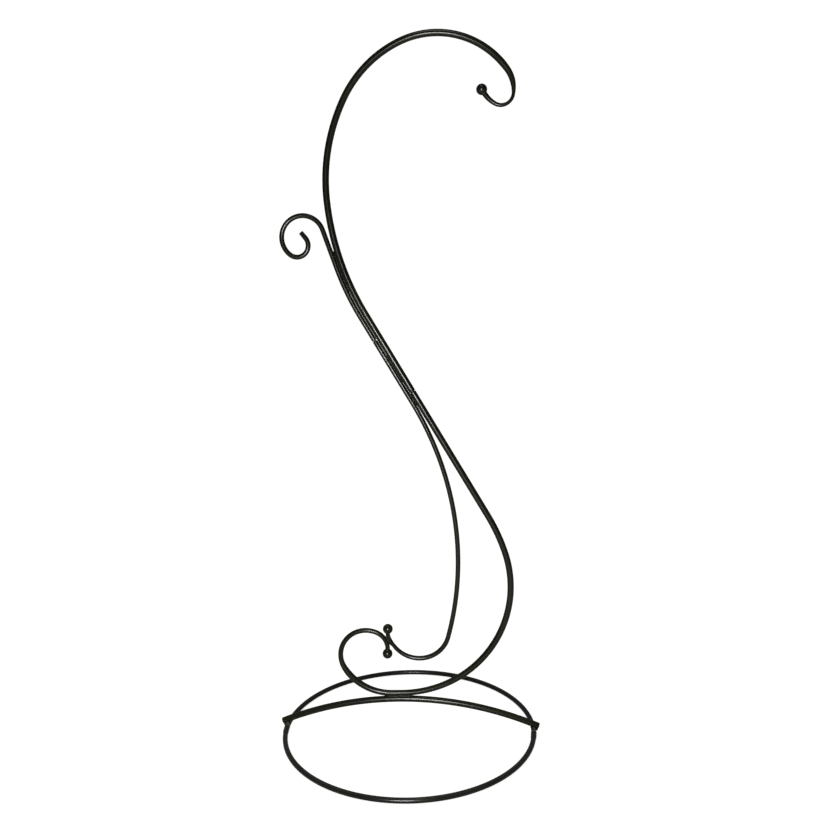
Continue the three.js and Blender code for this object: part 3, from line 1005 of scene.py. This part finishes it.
class Workshop:
    """What every sub-assembly needs: the trees and the finishes."""

    FILLET = 1.4  # radius of the hollow between a ball and its tube
    NECK_ROOM = 0.02  # how far the hollow's edge stands off the tube's skin
    FILLET_STEPS = 6
    BALL_STEPS = 24
    ROUND = 48

    def __init__(self) -> None:
        """Build the trees and the finishes."""
        groups = ShaderGroups()
        self.skins = SkinTree()
        self.beads = BeadTree()
        coats = {
            Place.TUBE: PowderCoat("black_tube"),
            Place.BASE: PowderCoat("black_base", dark=(0.0047, 0.0047, 0.0036),
                                   warm=(0.0104, 0.0103, 0.0080), dust_amount=0.16),
            Place.BALL: PowderCoat("black_ball", roughness=0.26, peel_strength=0.4),
            Place.WELD: PowderCoat("black_weld", roughness=0.34, gloss_change=0.2),
        }
        self.finishes = {place: coat.material(groups) for place, coat in coats.items()}

    def tube(self, node: str, line: Centreline, knots: list[Knot], sides: int = ROUND,
             place: Place = Place.TUBE, rubs: list[Knot] | None = None) -> None:
        """Make a length of tube in place of a node of the frame.

        Args:
            node: Name of the node, and of the piece.
            line: The tube's centreline.
            knots: Places and radii; a knot may turn back to line a bore.
            sides: Number of facets round the tube.
            place: Which finish it wears.
            rubs: Places and how worn the tube is there, or nothing.
        """
        dense = [knots[0]]
        for (low, low_radius), (high, high_radius) in zip(knots, knots[1:]):
            inside = line.places(min(low, high), max(low, high))
            for spot in inside if low <= high else reversed(inside):
                share = (spot - low) / (high - low)
                dense.append((spot, low_radius + share * (high_radius - low_radius)))
            dense.append((high, high_radius))
        rows = [line.station(*knot) for knot in dense]
        rub = [value_at(rubs or [], spot) for spot, _ in dense]
        self._dress(self.skins.skin(node, rows, rub, sides, self.finishes[place]), node)

    def ball(self, node: str, tip: Station, radius: float) -> None:
        """Make a ball that closes a tube, with a small fillet where the two meet.

        Args:
            node: Name of the node, and of the piece.
            tip: Station at the ball's centre, running out of the tube; its radius is the tube's.
            radius: Radius of the ball.
        """
        fillet = self.FILLET
        neck = tip.radius + self.NECK_ROOM
        back = math.sqrt((radius + fillet) ** 2 - (neck + fillet) ** 2)
        neck_turn = math.asin((neck + fillet) / (radius + fillet))
        profile = [(-back, 0.0)]
        for index in range(self.FILLET_STEPS + 1):
            angle = (math.pi / 2 - neck_turn) * index / self.FILLET_STEPS
            along = -back + fillet * math.sin(angle)
            profile.append((along, neck + fillet * (1 - math.cos(angle))))
        for index in range(1, self.BALL_STEPS):
            angle = neck_turn + (math.pi - neck_turn) * index / self.BALL_STEPS
            profile.append((-radius * math.cos(angle), radius * math.sin(angle)))
        profile.append((radius, 0.0))
        rows = [Station(tip.centre + tip.along * along, tip.out, tip.side, across)
                for along, across in profile]
        finish = self.finishes[Place.BALL]
        self._dress(self.skins.skin(node, rows, [0.0] * len(rows), self.ROUND, finish), node)

    def weld(self, node: str, rows: list[BeadRow], seed: int) -> None:
        """Make a weld bead, of that seed, in place of a node of the frame."""
        bead = self.beads.bead(node, rows, seed, self.finishes[Place.WELD])
        self._dress(bead, node, "black_weld")

    @staticmethod
    def _dress(piece: bpy.types.Object, node: str, slot: str = "black_steel") -> None:
        """Lets a piece stand for its node, and reports it.

        Args:
            piece: The piece.
            node: The node of the frame that it replaces.
            slot: Not used.
        """
        piece.name = f"{node}_fine"
        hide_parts(node)
        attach(piece, "root")
        LOG.info("%s: %d faces", piece.name, len(piece.data.polygons))


def value_at(knots: list[Knot], place: float) -> float:
    """The value at a place, by straight lines between knots, and 0 beyond the last of them.

    Args:
        knots: Places, in rising order, and the value at each.
        place: Where to read it.

    Returns:
        The value.
    """
    for (low, low_value), (high, high_value) in zip(knots, knots[1:]):
        if low <= place <= high:
            return low_value + (high_value - low_value) * (place - low) / (high - low)
    return 0.0


# ---- Sub-assemblies --------------------------------------------------------------------


@dataclass
class Base:
    """Two half hoops and the arched bar across them."""

    clearance: float = 0.3
    diameter: float = 500.0
    hoop_tube: float = 10.0
    bar_tube: float = 12.7
    bar_wall: float = 1.5
    crown_height: float = 66.6
    overhang: float = 6.0
    seam_ahead: float = 10.0
    facets: int = 36
    joint: SlipJoint = SlipJoint(
        swell=0.7,
        spigot_rub=((-7.0, 0.0), (-5.0, 1.05), (-1.0, 1.2), (1.0, 1.2)),
        socket_rub=((1.0, 1.2), (4.5, 1.1), (6.5, 0.0)),
    )
    bar_edge: float = 0.3
    bar_rub: Knot = (0.9, 0.75)
    weld_reach: tuple[float, float] = (5.4, 4.0)
    weld_thickness: float = 2.6
    weld_steps: int = 40
    weld_seed: int = 11

    def __post_init__(self) -> None:
        """Work out the bar's arc, which clears the hoop and peaks at the crown."""
        radius = self.diameter / 2
        self.apart = self.bar_tube / 2 + self.clearance + self.hoop_tube / 2
        rise = self.crown_height - self.hoop_tube / 2
        self.arc = (radius**2 + rise**2 - self.apart**2) / (2 * (rise - self.apart))
        self.half_turn = math.asin(radius / (self.arc - self.apart)) + self.overhang / self.arc
        turn = Bend(self.arc, math.degrees(2 * self.half_turn))
        self.bar = Centreline(UPRIGHT, self.bar_pose(-self.half_turn)).bend(turn)

    def bar_pose(self, angle: float) -> Pose:
        """The bar's pose that many radians past its crown, towards the small hook's side."""
        height = self.crown_height - self.arc * (1 - math.cos(angle))
        return Pose(-self.arc * math.sin(angle), height, angle + math.pi)

    def _hoop(self, from_angle: float, turn: float) -> Centreline:
        """A hoop's circle, counter-clockwise from an angle, with room for spigots.

        Args:
            from_angle: Where it starts, in radians from the large hook's side.
            turn: How far round it goes, in radians.

        Returns:
            The line.
        """
        radius = self.diameter / 2
        ground = Plane(Vector((0, 0, self.hoop_tube / 2)), Vector((1, 0, 0)), Vector((0, 1, 0)))
        x, y = radius * math.cos(from_angle), radius * math.sin(from_angle)
        start = Pose(x, y, from_angle + math.pi / 2)
        slack = (self.joint.length + self.joint.spare + self.joint.reveal) / radius
        back = Centreline(ground, start.reversed()).bend(Bend(radius, math.degrees(slack)), -1)
        hoop = Centreline(ground, start).bend(Bend(radius, math.degrees(turn + slack)))
        hoop.rests_on = self.hoop_tube / 2
        return hoop.following(back)

    def build(self, shop: Workshop) -> None:
        """Make the pieces of the base.

        Args:
            shop: Makes and dresses each piece.
        """
        joint, tube = self.joint, self.hoop_tube / 2
        seam = math.asin(2 * self.seam_ahead / self.diameter)
        rear = ("rear_hoop", -1, -seam, math.pi + 2 * seam, joint.spigot, joint.spigot_rub)
        front = ("front_hoop", 1, math.pi + seam, math.pi - 2 * seam,
                 joint.socket, joint.socket_rub)
        for node, sign, start, turn, ends, worn in (rear, front):
            end = self.diameter / 2 * turn
            knots = ends(0, sign, tube) + ends(end, -sign, tube)[::-1]
            rubs = joint.rubs(worn, 0, sign) + joint.rubs(worn, end, -sign)
            shop.tube(node, self._hoop(start, turn), knots, self.facets, Place.BASE, rubs)
        self._bar(shop)
        for sign, node in ((-1, "bar_weld_left"), (1, "bar_weld_right")):
            self._bar_weld(shop, node, sign)

    def _bar(self, shop: Workshop) -> None:
        """The bar: an open tube whose skin goes through the bore and closes on itself.

        Args:
            shop: Makes and dresses the piece.
        """
        outer, end, edge = self.bar_tube / 2, self.bar.end, self.bar_edge
        bore = outer - self.bar_wall
        low = rounded(0, 1, outer, edge)
        knots = low + rounded(end, -1, outer, edge)[::-1]
        knots += [(end, bore + edge), (end - edge, bore), (edge, bore), (0, bore + edge), low[0]]
        reach, worn = self.bar_rub
        rubs = [(0.0, worn), (reach, 0.0), (end - reach, 0.0), (end, worn)]
        shop.tube("cross_bar", self.bar, knots, rubs=rubs)

    def _bar_weld(self, shop: Workshop, node: str, sign: int) -> None:
        """A bead all round the spot where the bar lies on a hoop.

        Args:
            shop: Makes and dresses the piece.
            node: Name of the node.
            sign: -1 for the small hook's side, 1 for the large hook's.
        """
        place = self.bar.end / 2 - sign * (self.bar.end / 2 - self.overhang)
        spot = self.bar.station(place)
        contact = spot.centre + spot.out * (self.bar_tube / 2 + self.clearance / 2)
        row = []
        for index in range(self.weld_steps + 1):
            angle = math.tau * index / self.weld_steps
            ahead = self.weld_reach[0] * math.cos(angle)
            aside = self.weld_reach[1] * math.sin(angle)
            lift = ahead**2 / (2 * self.hoop_tube) - aside**2 / (2 * self.bar_tube)
            centre = contact + spot.along * ahead + spot.side * aside + spot.out * lift
            way = spot.side * math.cos(angle) - spot.along * math.sin(angle)
            station = Station(centre, spot.out, way.cross(spot.out) * -1, self.weld_thickness)
            row.append((station, self.weld_thickness))
        shop.weld(node, [row], self.weld_seed + sign)


@dataclass
class Pole:
    """The thick pole: scroll, foot, belly, leaning run, crown and large hook."""

    base: Base
    tube: float = 12.7
    foot_tube: float = 11.4
    scroll_tube: float = 10.4
    scroll_tip_tube: float = 9.4
    beak_tube: float = 10.3
    hook_tube: float = 6.5
    hook_end_tube: float = 8.0
    hook_tip_tube: float = 9.8
    ball: float = 20.0
    ball_bite: float = 4.0
    foot_offset: float = -20.0
    scroll_lead: float = 14.0
    scroll_heel: Bend = Bend(107.0, 60.5)
    scroll_neck_before: float = 15.0
    scroll_neck_past: float = 20.0
    scroll_loop: Bend = Bend(53.0, 145.0)
    scroll_tip: Bend = Bend(35.5, 68.2)
    belly_lead: float = 6.4
    belly: Bend = Bend(225.3, 106.3)
    belly_ease: Bend = Bend(379.0, 12.3)
    leaning_run: float = 455.0
    flank: Bend = Bend(500.0, 25.4)
    shoulder: Bend = Bend(330.0, 32.5)
    crown: Bend = Bend(210.0, 39.8)
    beak: Bend = Bend(162.0, 76.6)
    beak_tip: Bend = Bend(60.5, 42.8)
    hook: Bend = Bend(22.0, 112.2)
    hook_tip: Bend = Bend(55.0, 27.0)
    taper_turn: float = 6.0
    seam: float = 281.0
    joint: SlipJoint = SlipJoint()
    weld: SeamWeld = SeamWeld(aside=2.9, cover=0.4, depth=1.3, core_depth=2.4)
    weld_half: float = 23.0
    weld_legs: tuple[float, float] = (15.0, 33.0)
    leg_width: tuple[float, float] = (1.1, 0.45)
    leg_depth: tuple[float, float] = (2.6, 0.6)
    weld_seed: int = 23

    def __post_init__(self) -> None:
        """Lay out the centreline from the foot, both ways."""
        base = self.base
        angle = math.asin(-self.foot_offset / base.arc)
        apart = base.bar_tube / 2 + base.clearance + self.foot_tube / 2
        foot = base.bar_pose(angle).reversed()
        foot = Pose(foot.x, foot.y, foot.heading - math.tau).beside(apart)
        reach = self.ball / 2
        self.scroll = Centreline(UPRIGHT, foot.reversed()).straight(self.scroll_lead)
        for bend in (self.scroll_heel, self.scroll_loop, self.scroll_tip):
            self.scroll.bend(bend, -1)
        self.scroll.straight(reach)
        self.line = Centreline(UPRIGHT, foot).straight(self.belly_lead)
        self.line.bend(self.belly).bend(self.belly_ease)
        self.run_start = self.line.end
        self.run_pose = self.line.tail
        self.run_end = self.line.straight(self.leaning_run).end
        for bend in (self.flank, self.shoulder, self.crown, self.beak):
            self.line.bend(bend, -1)
        self.beak_end = self.line.end
        self.hook_start = self.line.bend(self.beak_tip, -1).end
        self.hook_end = self.line.bend(self.hook, -1).end
        self.line.bend(self.hook_tip, -1).straight(reach).following(self.scroll)
        self.inset = self.ball / 2 - self.ball_bite

    def lower_knots(self) -> list[Knot]:
        """Knots of the lower pole's skin, from the scroll's tip to below the seam.

        Returns:
            The knots, in rising order.
        """
        heel_end = -(self.scroll_lead + self.scroll_heel.length)
        return [
            (self.line.start + self.inset, self.scroll_tip_tube / 2),
            (heel_end - self.scroll_neck_past, self.scroll_tube / 2),
            (heel_end + self.scroll_neck_before, self.tube / 2),
            (0.0, self.foot_tube / 2),
            (self.belly_lead + self.belly.length / 2, self.tube / 2),
        ]

    def hook_knots(self) -> list[Knot]:
        """Knots of the beak and the hook, which thin and then swell towards the ball.

        Returns:
            The knots, in rising order.
        """
        tip = self.line.end - self.inset
        return [
            (self.beak_end - self.beak.radius * math.radians(self.taper_turn), self.tube / 2),
            ((self.beak_end + self.hook_start) / 2, self.beak_tube / 2),
            (self.hook_start, self.hook_tube / 2),
            ((self.hook_start + self.hook_end) / 2, self.hook_tube / 2),
            (self.hook_end, self.hook_end_tube / 2),
            (tip - self.ball_bite, self.hook_tip_tube / 2),
            (tip, self.hook_tip_tube / 2),
            (tip, 0.0),
        ]

    def build(self, shop: Workshop) -> None:
        """Make the pieces of the pole.

        Args:
            shop: Makes and dresses each piece.
        """
        radius = self.tube / 2
        seam = self.run_start + self.seam
        line, joint = self.line, self.joint
        knots = [(line.start + self.inset, 0.0), *self.lower_knots()]
        knots += joint.spigot(seam, 1, radius)[::-1]
        shop.tube("lower_pole", line, knots, rubs=joint.rubs(joint.spigot_rub, seam, 1))
        knots = joint.socket(seam, 1, radius) + self.hook_knots()
        shop.tube("upper_pole", line, knots, rubs=joint.rubs(joint.socket_rub, seam, 1))
        back = line.station(line.start, self.scroll_tip_tube / 2).reversed()
        shop.ball("scroll_ball", back, self.ball / 2)
        shop.ball("hook_ball", line.station(line.end, self.hook_tip_tube / 2), self.ball / 2)
        self._foot_weld(shop)

    def _foot_weld(self, shop: Workshop) -> None:
        """A long bead between the foot and the bar, whose ends part along both tubes.

        Args:
            shop: Makes and dresses the piece.
        """
        gaps = [self._foot_gap(self.weld_half * share) for share in spread(WELD_STEPS)]
        rows = self.weld.rows(gaps)
        for sign in (-1, 1):
            for tube_sign in (-1, 1):
                leg = []
                for index in range(WELD_STEPS + 1):
                    share = index / WELD_STEPS
                    gap = self._foot_gap(sign * between(self.weld_legs, share))
                    station = gap.fillet(tube_sign, between(self.leg_width, share))
                    leg.append((station, between(self.leg_depth, share)))
                rows.append(leg[::sign])
        shop.weld("foot_weld", rows, self.weld_seed)

    def _foot_gap(self, place: float) -> Gap:
        """The gap between the bar and the foot, which widens both ways from the foot's middle.

        Args:
            place: Where on the pole's centreline.

        Returns:
            The gap there.
        """
        base = self.base
        lead, bend = self.scroll_lead, self.scroll_heel
        if place > 0:
            lead, bend = self.belly_lead, self.belly
        bent = max(abs(place) - lead, 0.0)
        width = base.clearance + place**2 / (2 * base.arc) + bent**2 / (2 * bend.radius)
        here = self.line.station(place)
        radius = value_at(self.lower_knots(), place)
        middle = here.centre - here.out * (radius + width / 2)
        return Gap(middle, here.out, here.side, width, (base.bar_tube / 2, radius))


@dataclass(frozen=True)
class Seam:
    """Where the rod and the pole part, and the welds near that place.

    Each weld is given by how far its middle lies past the parting, and by half its length.
    """

    on_pole: float
    on_rod: float
    sign: int
    welds: tuple[Knot, ...]


@dataclass
class Rod:
    """The thin rod: heel, long bend, the run beside the pole and the small curled hook."""

    pole: Pole
    clearance: float = 0.3
    tube: float = 9.5
    tip_tube: float = 7.2
    cut_tube: float = 8.8
    taper: float = 90.0
    kiss_from_scroll_ball: float = 27.0
    kiss_from_rod_ball: float = 22.0
    tip_radius: float = 30.0
    instep: Bend = Bend(78.0, 18.2)
    heel_radius: float = 61.0
    rise_turn: float = 45.5
    flank_turn: float = 11.4
    curl_lead: float = 74.4
    curl: Bend = Bend(40.3, 211.8)
    curl_inner: Bend = Bend(21.6, 168.0)
    curl_cut_run: float = 13.5
    seam: float = 401.0
    joint: SlipJoint = SlipJoint()
    weld: SeamWeld = SeamWeld()
    low_welds: tuple[Knot, Knot] = ((-7.0, 13.0), (-74.0, 28.0))
    high_welds: tuple[Knot] = ((-10.0, 38.0),)
    tip_weld_half: float = 11.0
    tip_weld_width: tuple[float, float] = (1.2, 2.3)
    tip_weld_depth: tuple[float, float] = (1.4, 2.9)
    tip_weld_steps: int = 12
    weld_seeds: tuple[int, int, int] = (31, 41, 43)
    cut_edge: float = 0.4
    cut_rub: Knot = (1.2, 0.8)
    facets: int = 40

    def __post_init__(self) -> None:
        """Lay out the centreline from the kiss, both ways."""
        pole = self.pole
        reach = pole.ball / 2
        kiss_place = pole.line.start + self.kiss_from_scroll_ball
        scroll_radius = value_at(pole.lower_knots(), kiss_place)
        ends = (self.tip_tube / 2, self.tube / 2)
        self.kiss_radius = between(ends, self.kiss_from_rod_ball / self.taper)
        kiss_apart = scroll_radius + self.clearance + self.kiss_radius
        kiss = pole.scroll.pose(-kiss_place).beside(kiss_apart)
        tip_turn = math.degrees((self.kiss_from_rod_ball - reach) / self.tip_radius)
        tip = Centreline(UPRIGHT, kiss.reversed()).bend(Bend(self.tip_radius, tip_turn), -1)
        tip.straight(reach)
        self.apart = pole.tube / 2 + self.clearance + self.tube / 2
        beside = pole.run_pose.beside(self.apart)
        heel = math.degrees(beside.heading - kiss.heading) - self.instep.turn - self.rise_turn
        self.line = Centreline(UPRIGHT, kiss).bend(self.instep)
        self.line.bend(Bend(self.heel_radius, heel % 360))
        self._rise(beside)
        self.line.straight(pole.leaning_run - self.parting_run)
        self.line.bend(Bend(pole.flank.radius + self.apart, self.flank_turn), -1)
        self.high_parting = self.line.end
        self.line.straight(self.curl_lead).bend(self.curl).bend(self.curl_inner)
        self.line.straight(self.curl_cut_run).following(tip)

    def _rise(self, beside: Pose) -> None:
        """The long bend that meets the line beside the pole without a kink.

        Args:
            beside: Pose of the rod where the pole's leaning run starts.
        """
        heel = self.line.tail
        sine, cosine = math.sin(beside.heading), math.cos(beside.heading)
        off = (heel.x - beside.x) * sine - (heel.y - beside.y) * cosine
        radius = -off / (1 - math.cos(math.radians(self.rise_turn)))
        self.low_parting = self.line.bend(Bend(radius, self.rise_turn)).end
        tail = self.line.tail
        self.parting_run = (tail.x - beside.x) * cosine + (tail.y - beside.y) * sine

    def build(self, shop: Workshop) -> None:
        """Make the pieces of the rod.

        Args:
            shop: Makes and dresses each piece.
        """
        radius = self.tube / 2
        seam = self.low_parting + self.seam - self.parting_run
        line, joint = self.line, self.joint
        start, end = line.start + self.pole.inset, line.end
        knots = [(start, 0.0), (start, self.tip_tube / 2), (line.start + self.taper, radius)]
        knots += joint.spigot(seam, 1, radius)[::-1]
        rubs = joint.rubs(joint.spigot_rub, seam, 1)
        shop.tube("lower_rod", line, knots, self.facets, rubs=rubs)
        knots = [*joint.socket(seam, 1, radius), (end - self.curl_cut_run, radius)]
        knots += [*rounded(end, -1, self.cut_tube / 2, self.cut_edge)[::-1], (end, 0.0)]
        reach, worn = self.cut_rub
        rubs = joint.rubs(joint.socket_rub, seam, 1) + [(end - reach, 0.0), (end, worn)]
        shop.tube("upper_rod", line, knots, self.facets, rubs=rubs)
        back = line.station(line.start, self.tip_tube / 2).reversed()
        shop.ball("rod_ball", back, self.pole.ball / 2)
        self._tip_weld(shop)
        self._side_welds(shop)

    def _tip_weld(self, shop: Workshop) -> None:
        """A short bead where the rod's tip lies against the scroll's.

        Args:
            shop: Makes and dresses the piece.
        """
        row = []
        for share in spread(self.tip_weld_steps):
            full = 1 - share**2
            here = self.line.station(self.tip_weld_half * share)
            centre = here.centre - here.out * (self.kiss_radius + self.clearance / 2)
            station = Station(centre, here.out, here.side, between(self.tip_weld_width, full))
            row.append((station, between(self.tip_weld_depth, math.sqrt(full))))
        shop.weld("tip_weld", [row], self.weld_seeds[0])

    def _side_welds(self, shop: Workshop) -> None:
        """Beads in the grooves where the rod lies along the pole.

        Args:
            shop: Makes and dresses them.
        """
        pole = self.pole
        flank = pole.flank.radius * math.radians(self.flank_turn)
        low = Seam(pole.run_start + self.parting_run, self.low_parting, -1, self.low_welds)
        high = Seam(pole.run_end + flank, self.high_parting, 1, self.high_welds)
        seams = (("low_rod_weld", low), ("high_rod_weld", high))
        for (node, seam), seed in zip(seams, self.weld_seeds[1:]):
            rows = []
            for past, half in seam.welds:
                gaps = [self._gap(seam, past + half * share) for share in spread(WELD_STEPS)]
                rows += self.weld.rows(gaps)
            shop.weld(node, rows, seed)

    def _gap(self, seam: Seam, past: float) -> Gap:
        """The gap between the pole and the rod.

        Args:
            seam: Where the two part.
            past: How far beyond that place, on the side where they stand apart.

        Returns:
            The gap there.
        """
        radii = (self.pole.tube / 2, self.tube / 2)
        thick = self.pole.line.station(seam.on_pole + seam.sign * past)
        thin = self.line.station(seam.on_rod + seam.sign * past)
        width = (thin.centre - thick.centre).length - sum(radii)
        middle = thick.centre + thick.out * (radii[0] + width / 2)
        return Gap(middle, thick.out, thick.side, width, radii)


# ---- Studio ----------------------------------------------------------------------------


@dataclass(frozen=True)
class Lamp:
    """A soft box: where it stands, what it faces, its size in metres and its power."""

    name: str
    place: tuple[float, float, float]
    target: tuple[float, float, float]
    size: tuple[float, float]
    power: float

    def light(self) -> None:
        """Set it up."""
        data = bpy.data.lights.new(self.name, "AREA")
        data.shape = "RECTANGLE"
        data.size, data.size_y = self.size
        data.energy = self.power
        lamp = shown(self.name, data)
        way = Vector(self.target) - Vector(self.place)
        lamp.rotation_euler = way.to_track_quat("-Z", "Y").to_euler()
        lamp.location = self.place
        lamp.visible_camera = False


@dataclass(frozen=True)
class SkyGlow:
    """Broad soft light from above that leaves no shine: its lean, breadth and strength."""

    name: str
    lean: tuple[float, float]
    breadth: float
    strength: float

    def light(self) -> None:
        """Set it up."""
        data = bpy.data.lights.new(self.name, "SUN")
        data.angle = math.radians(self.breadth)
        data.energy = self.strength
        lamp = shown(self.name, data)
        lamp.rotation_euler = (math.radians(self.lean[0]), math.radians(self.lean[1]), 0.0)
        lamp.visible_glossy = False


@dataclass(frozen=True)
class Studio:
    """The pale floor, the soft lights and the camera at the photograph's angle."""

    camera_place: tuple[float, float, float] = (0.1451, -1.5904, 0.8764)
    camera_yaw: float = 4.36
    camera_pitch: float = -8.29
    camera_roll: float = -0.97
    focal_pixels: float = 839.1
    frame_pixels: float = 832.0
    sensor: float = 36.0
    floor_reach: float = 60.0
    camera_reach: tuple[float, float] = (0.02, 200.0)
    floor_tone: tuple[float, float, float] = (0.36, 0.355, 0.34)
    floor_roughness: float = 0.8
    floor_lift: float = 0.86
    sky_tone: tuple[float, float, float] = (1.0, 1.0, 1.0)
    sky_seen: float = 1.05
    sky_light: float = 0.06
    lamps: tuple[Lamp | SkyGlow, ...] = (
        Lamp("key_by_camera", (-0.033, -2.0, 0.69), (0.02, 0.0, -0.6), (0.46, 0.46), 27.0),
        Lamp("over_crown", (0.04, -0.5, 2.3), (0.06, 0.0, 1.3), (0.4, 0.4), 1.2),
        SkyGlow("overhead", (-14.0, -8.0), 45.0, 1.5),
    )

    def build(self) -> None:
        """Set up the floor, the sky, the lights and the camera."""
        bpy.context.scene.view_settings.view_transform = "Standard"
        self._floor()
        self._sky()
        for lamp in self.lamps:
            lamp.light()
        self._camera()
        LOG.info("studio: %d lamps", len(self.lamps))

    def _floor(self) -> None:
        """A wide pale floor, which the camera sees lifted by a glow."""
        reach = self.floor_reach
        corners = [(-reach, -reach, 0), (reach, -reach, 0), (reach, reach, 0), (-reach, reach, 0)]
        mesh = bpy.data.meshes.new("floor")
        mesh.from_pydata(corners, [], [(0, 1, 2, 3)])
        tone = bpy.data.materials.new("pale_floor")
        tone.use_nodes = True
        build = Tree(tone.node_tree)
        seen = build.node("ShaderNodeLightPath").outputs["Is Camera Ray"]
        build.feed(tone.node_tree.nodes["Principled BSDF"], {
            "Base Color": (*self.floor_tone, 1),
            "Roughness": self.floor_roughness,
            "Specular IOR Level": 0.0,
            "Emission Color": (1, 1, 1, 1),
            "Emission Strength": build.math("MULTIPLY", seen, self.floor_lift),
        })
        mesh.materials.append(tone)
        shown("floor", mesh)

    def _sky(self) -> None:
        """An even pale surround, which gives less light than the camera sees."""
        world = bpy.data.worlds.new("surround")
        bpy.context.scene.world = world
        world.use_nodes = True
        build = Tree(world.node_tree)
        seen = build.node("ShaderNodeLightPath").outputs["Is Camera Ray"]
        ends = {"Value": seen, "To Min": self.sky_light, "To Max": self.sky_seen}
        level = build.node("ShaderNodeMapRange", ends)
        build.feed(world.node_tree.nodes["Background"],
                   {"Color": (*self.sky_tone, 1), "Strength": level})

    def _camera(self) -> None:
        """The camera where the photograph was taken."""
        data = bpy.data.cameras.new("camera")
        data.sensor_width = self.sensor
        data.lens = self.focal_pixels / self.frame_pixels * self.sensor
        data.clip_start, data.clip_end = self.camera_reach
        camera = shown("camera", data)
        yaw = Matrix.Rotation(math.radians(self.camera_yaw), 4, "Z")
        pitch = Matrix.Rotation(math.radians(90 + self.camera_pitch), 4, "X")
        roll = Matrix.Rotation(math.radians(self.camera_roll), 4, "Z")
        camera.matrix_world = Matrix.Translation(self.camera_place) @ yaw @ pitch @ roll
        bpy.context.scene.camera = camera


# ---- Making ----------------------------------------------------------------------------


def main() -> None:
    """Dress the frame and set up the studio."""
    logging.basicConfig(level=logging.INFO, format="%(name)s: %(message)s")
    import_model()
    shop = Workshop()
    base = Base()
    base.build(shop)
    pole = Pole(base)
    pole.build(shop)
    Rod(pole).build(shop)
    Studio().build()


if __name__ == "__main__":
    main()
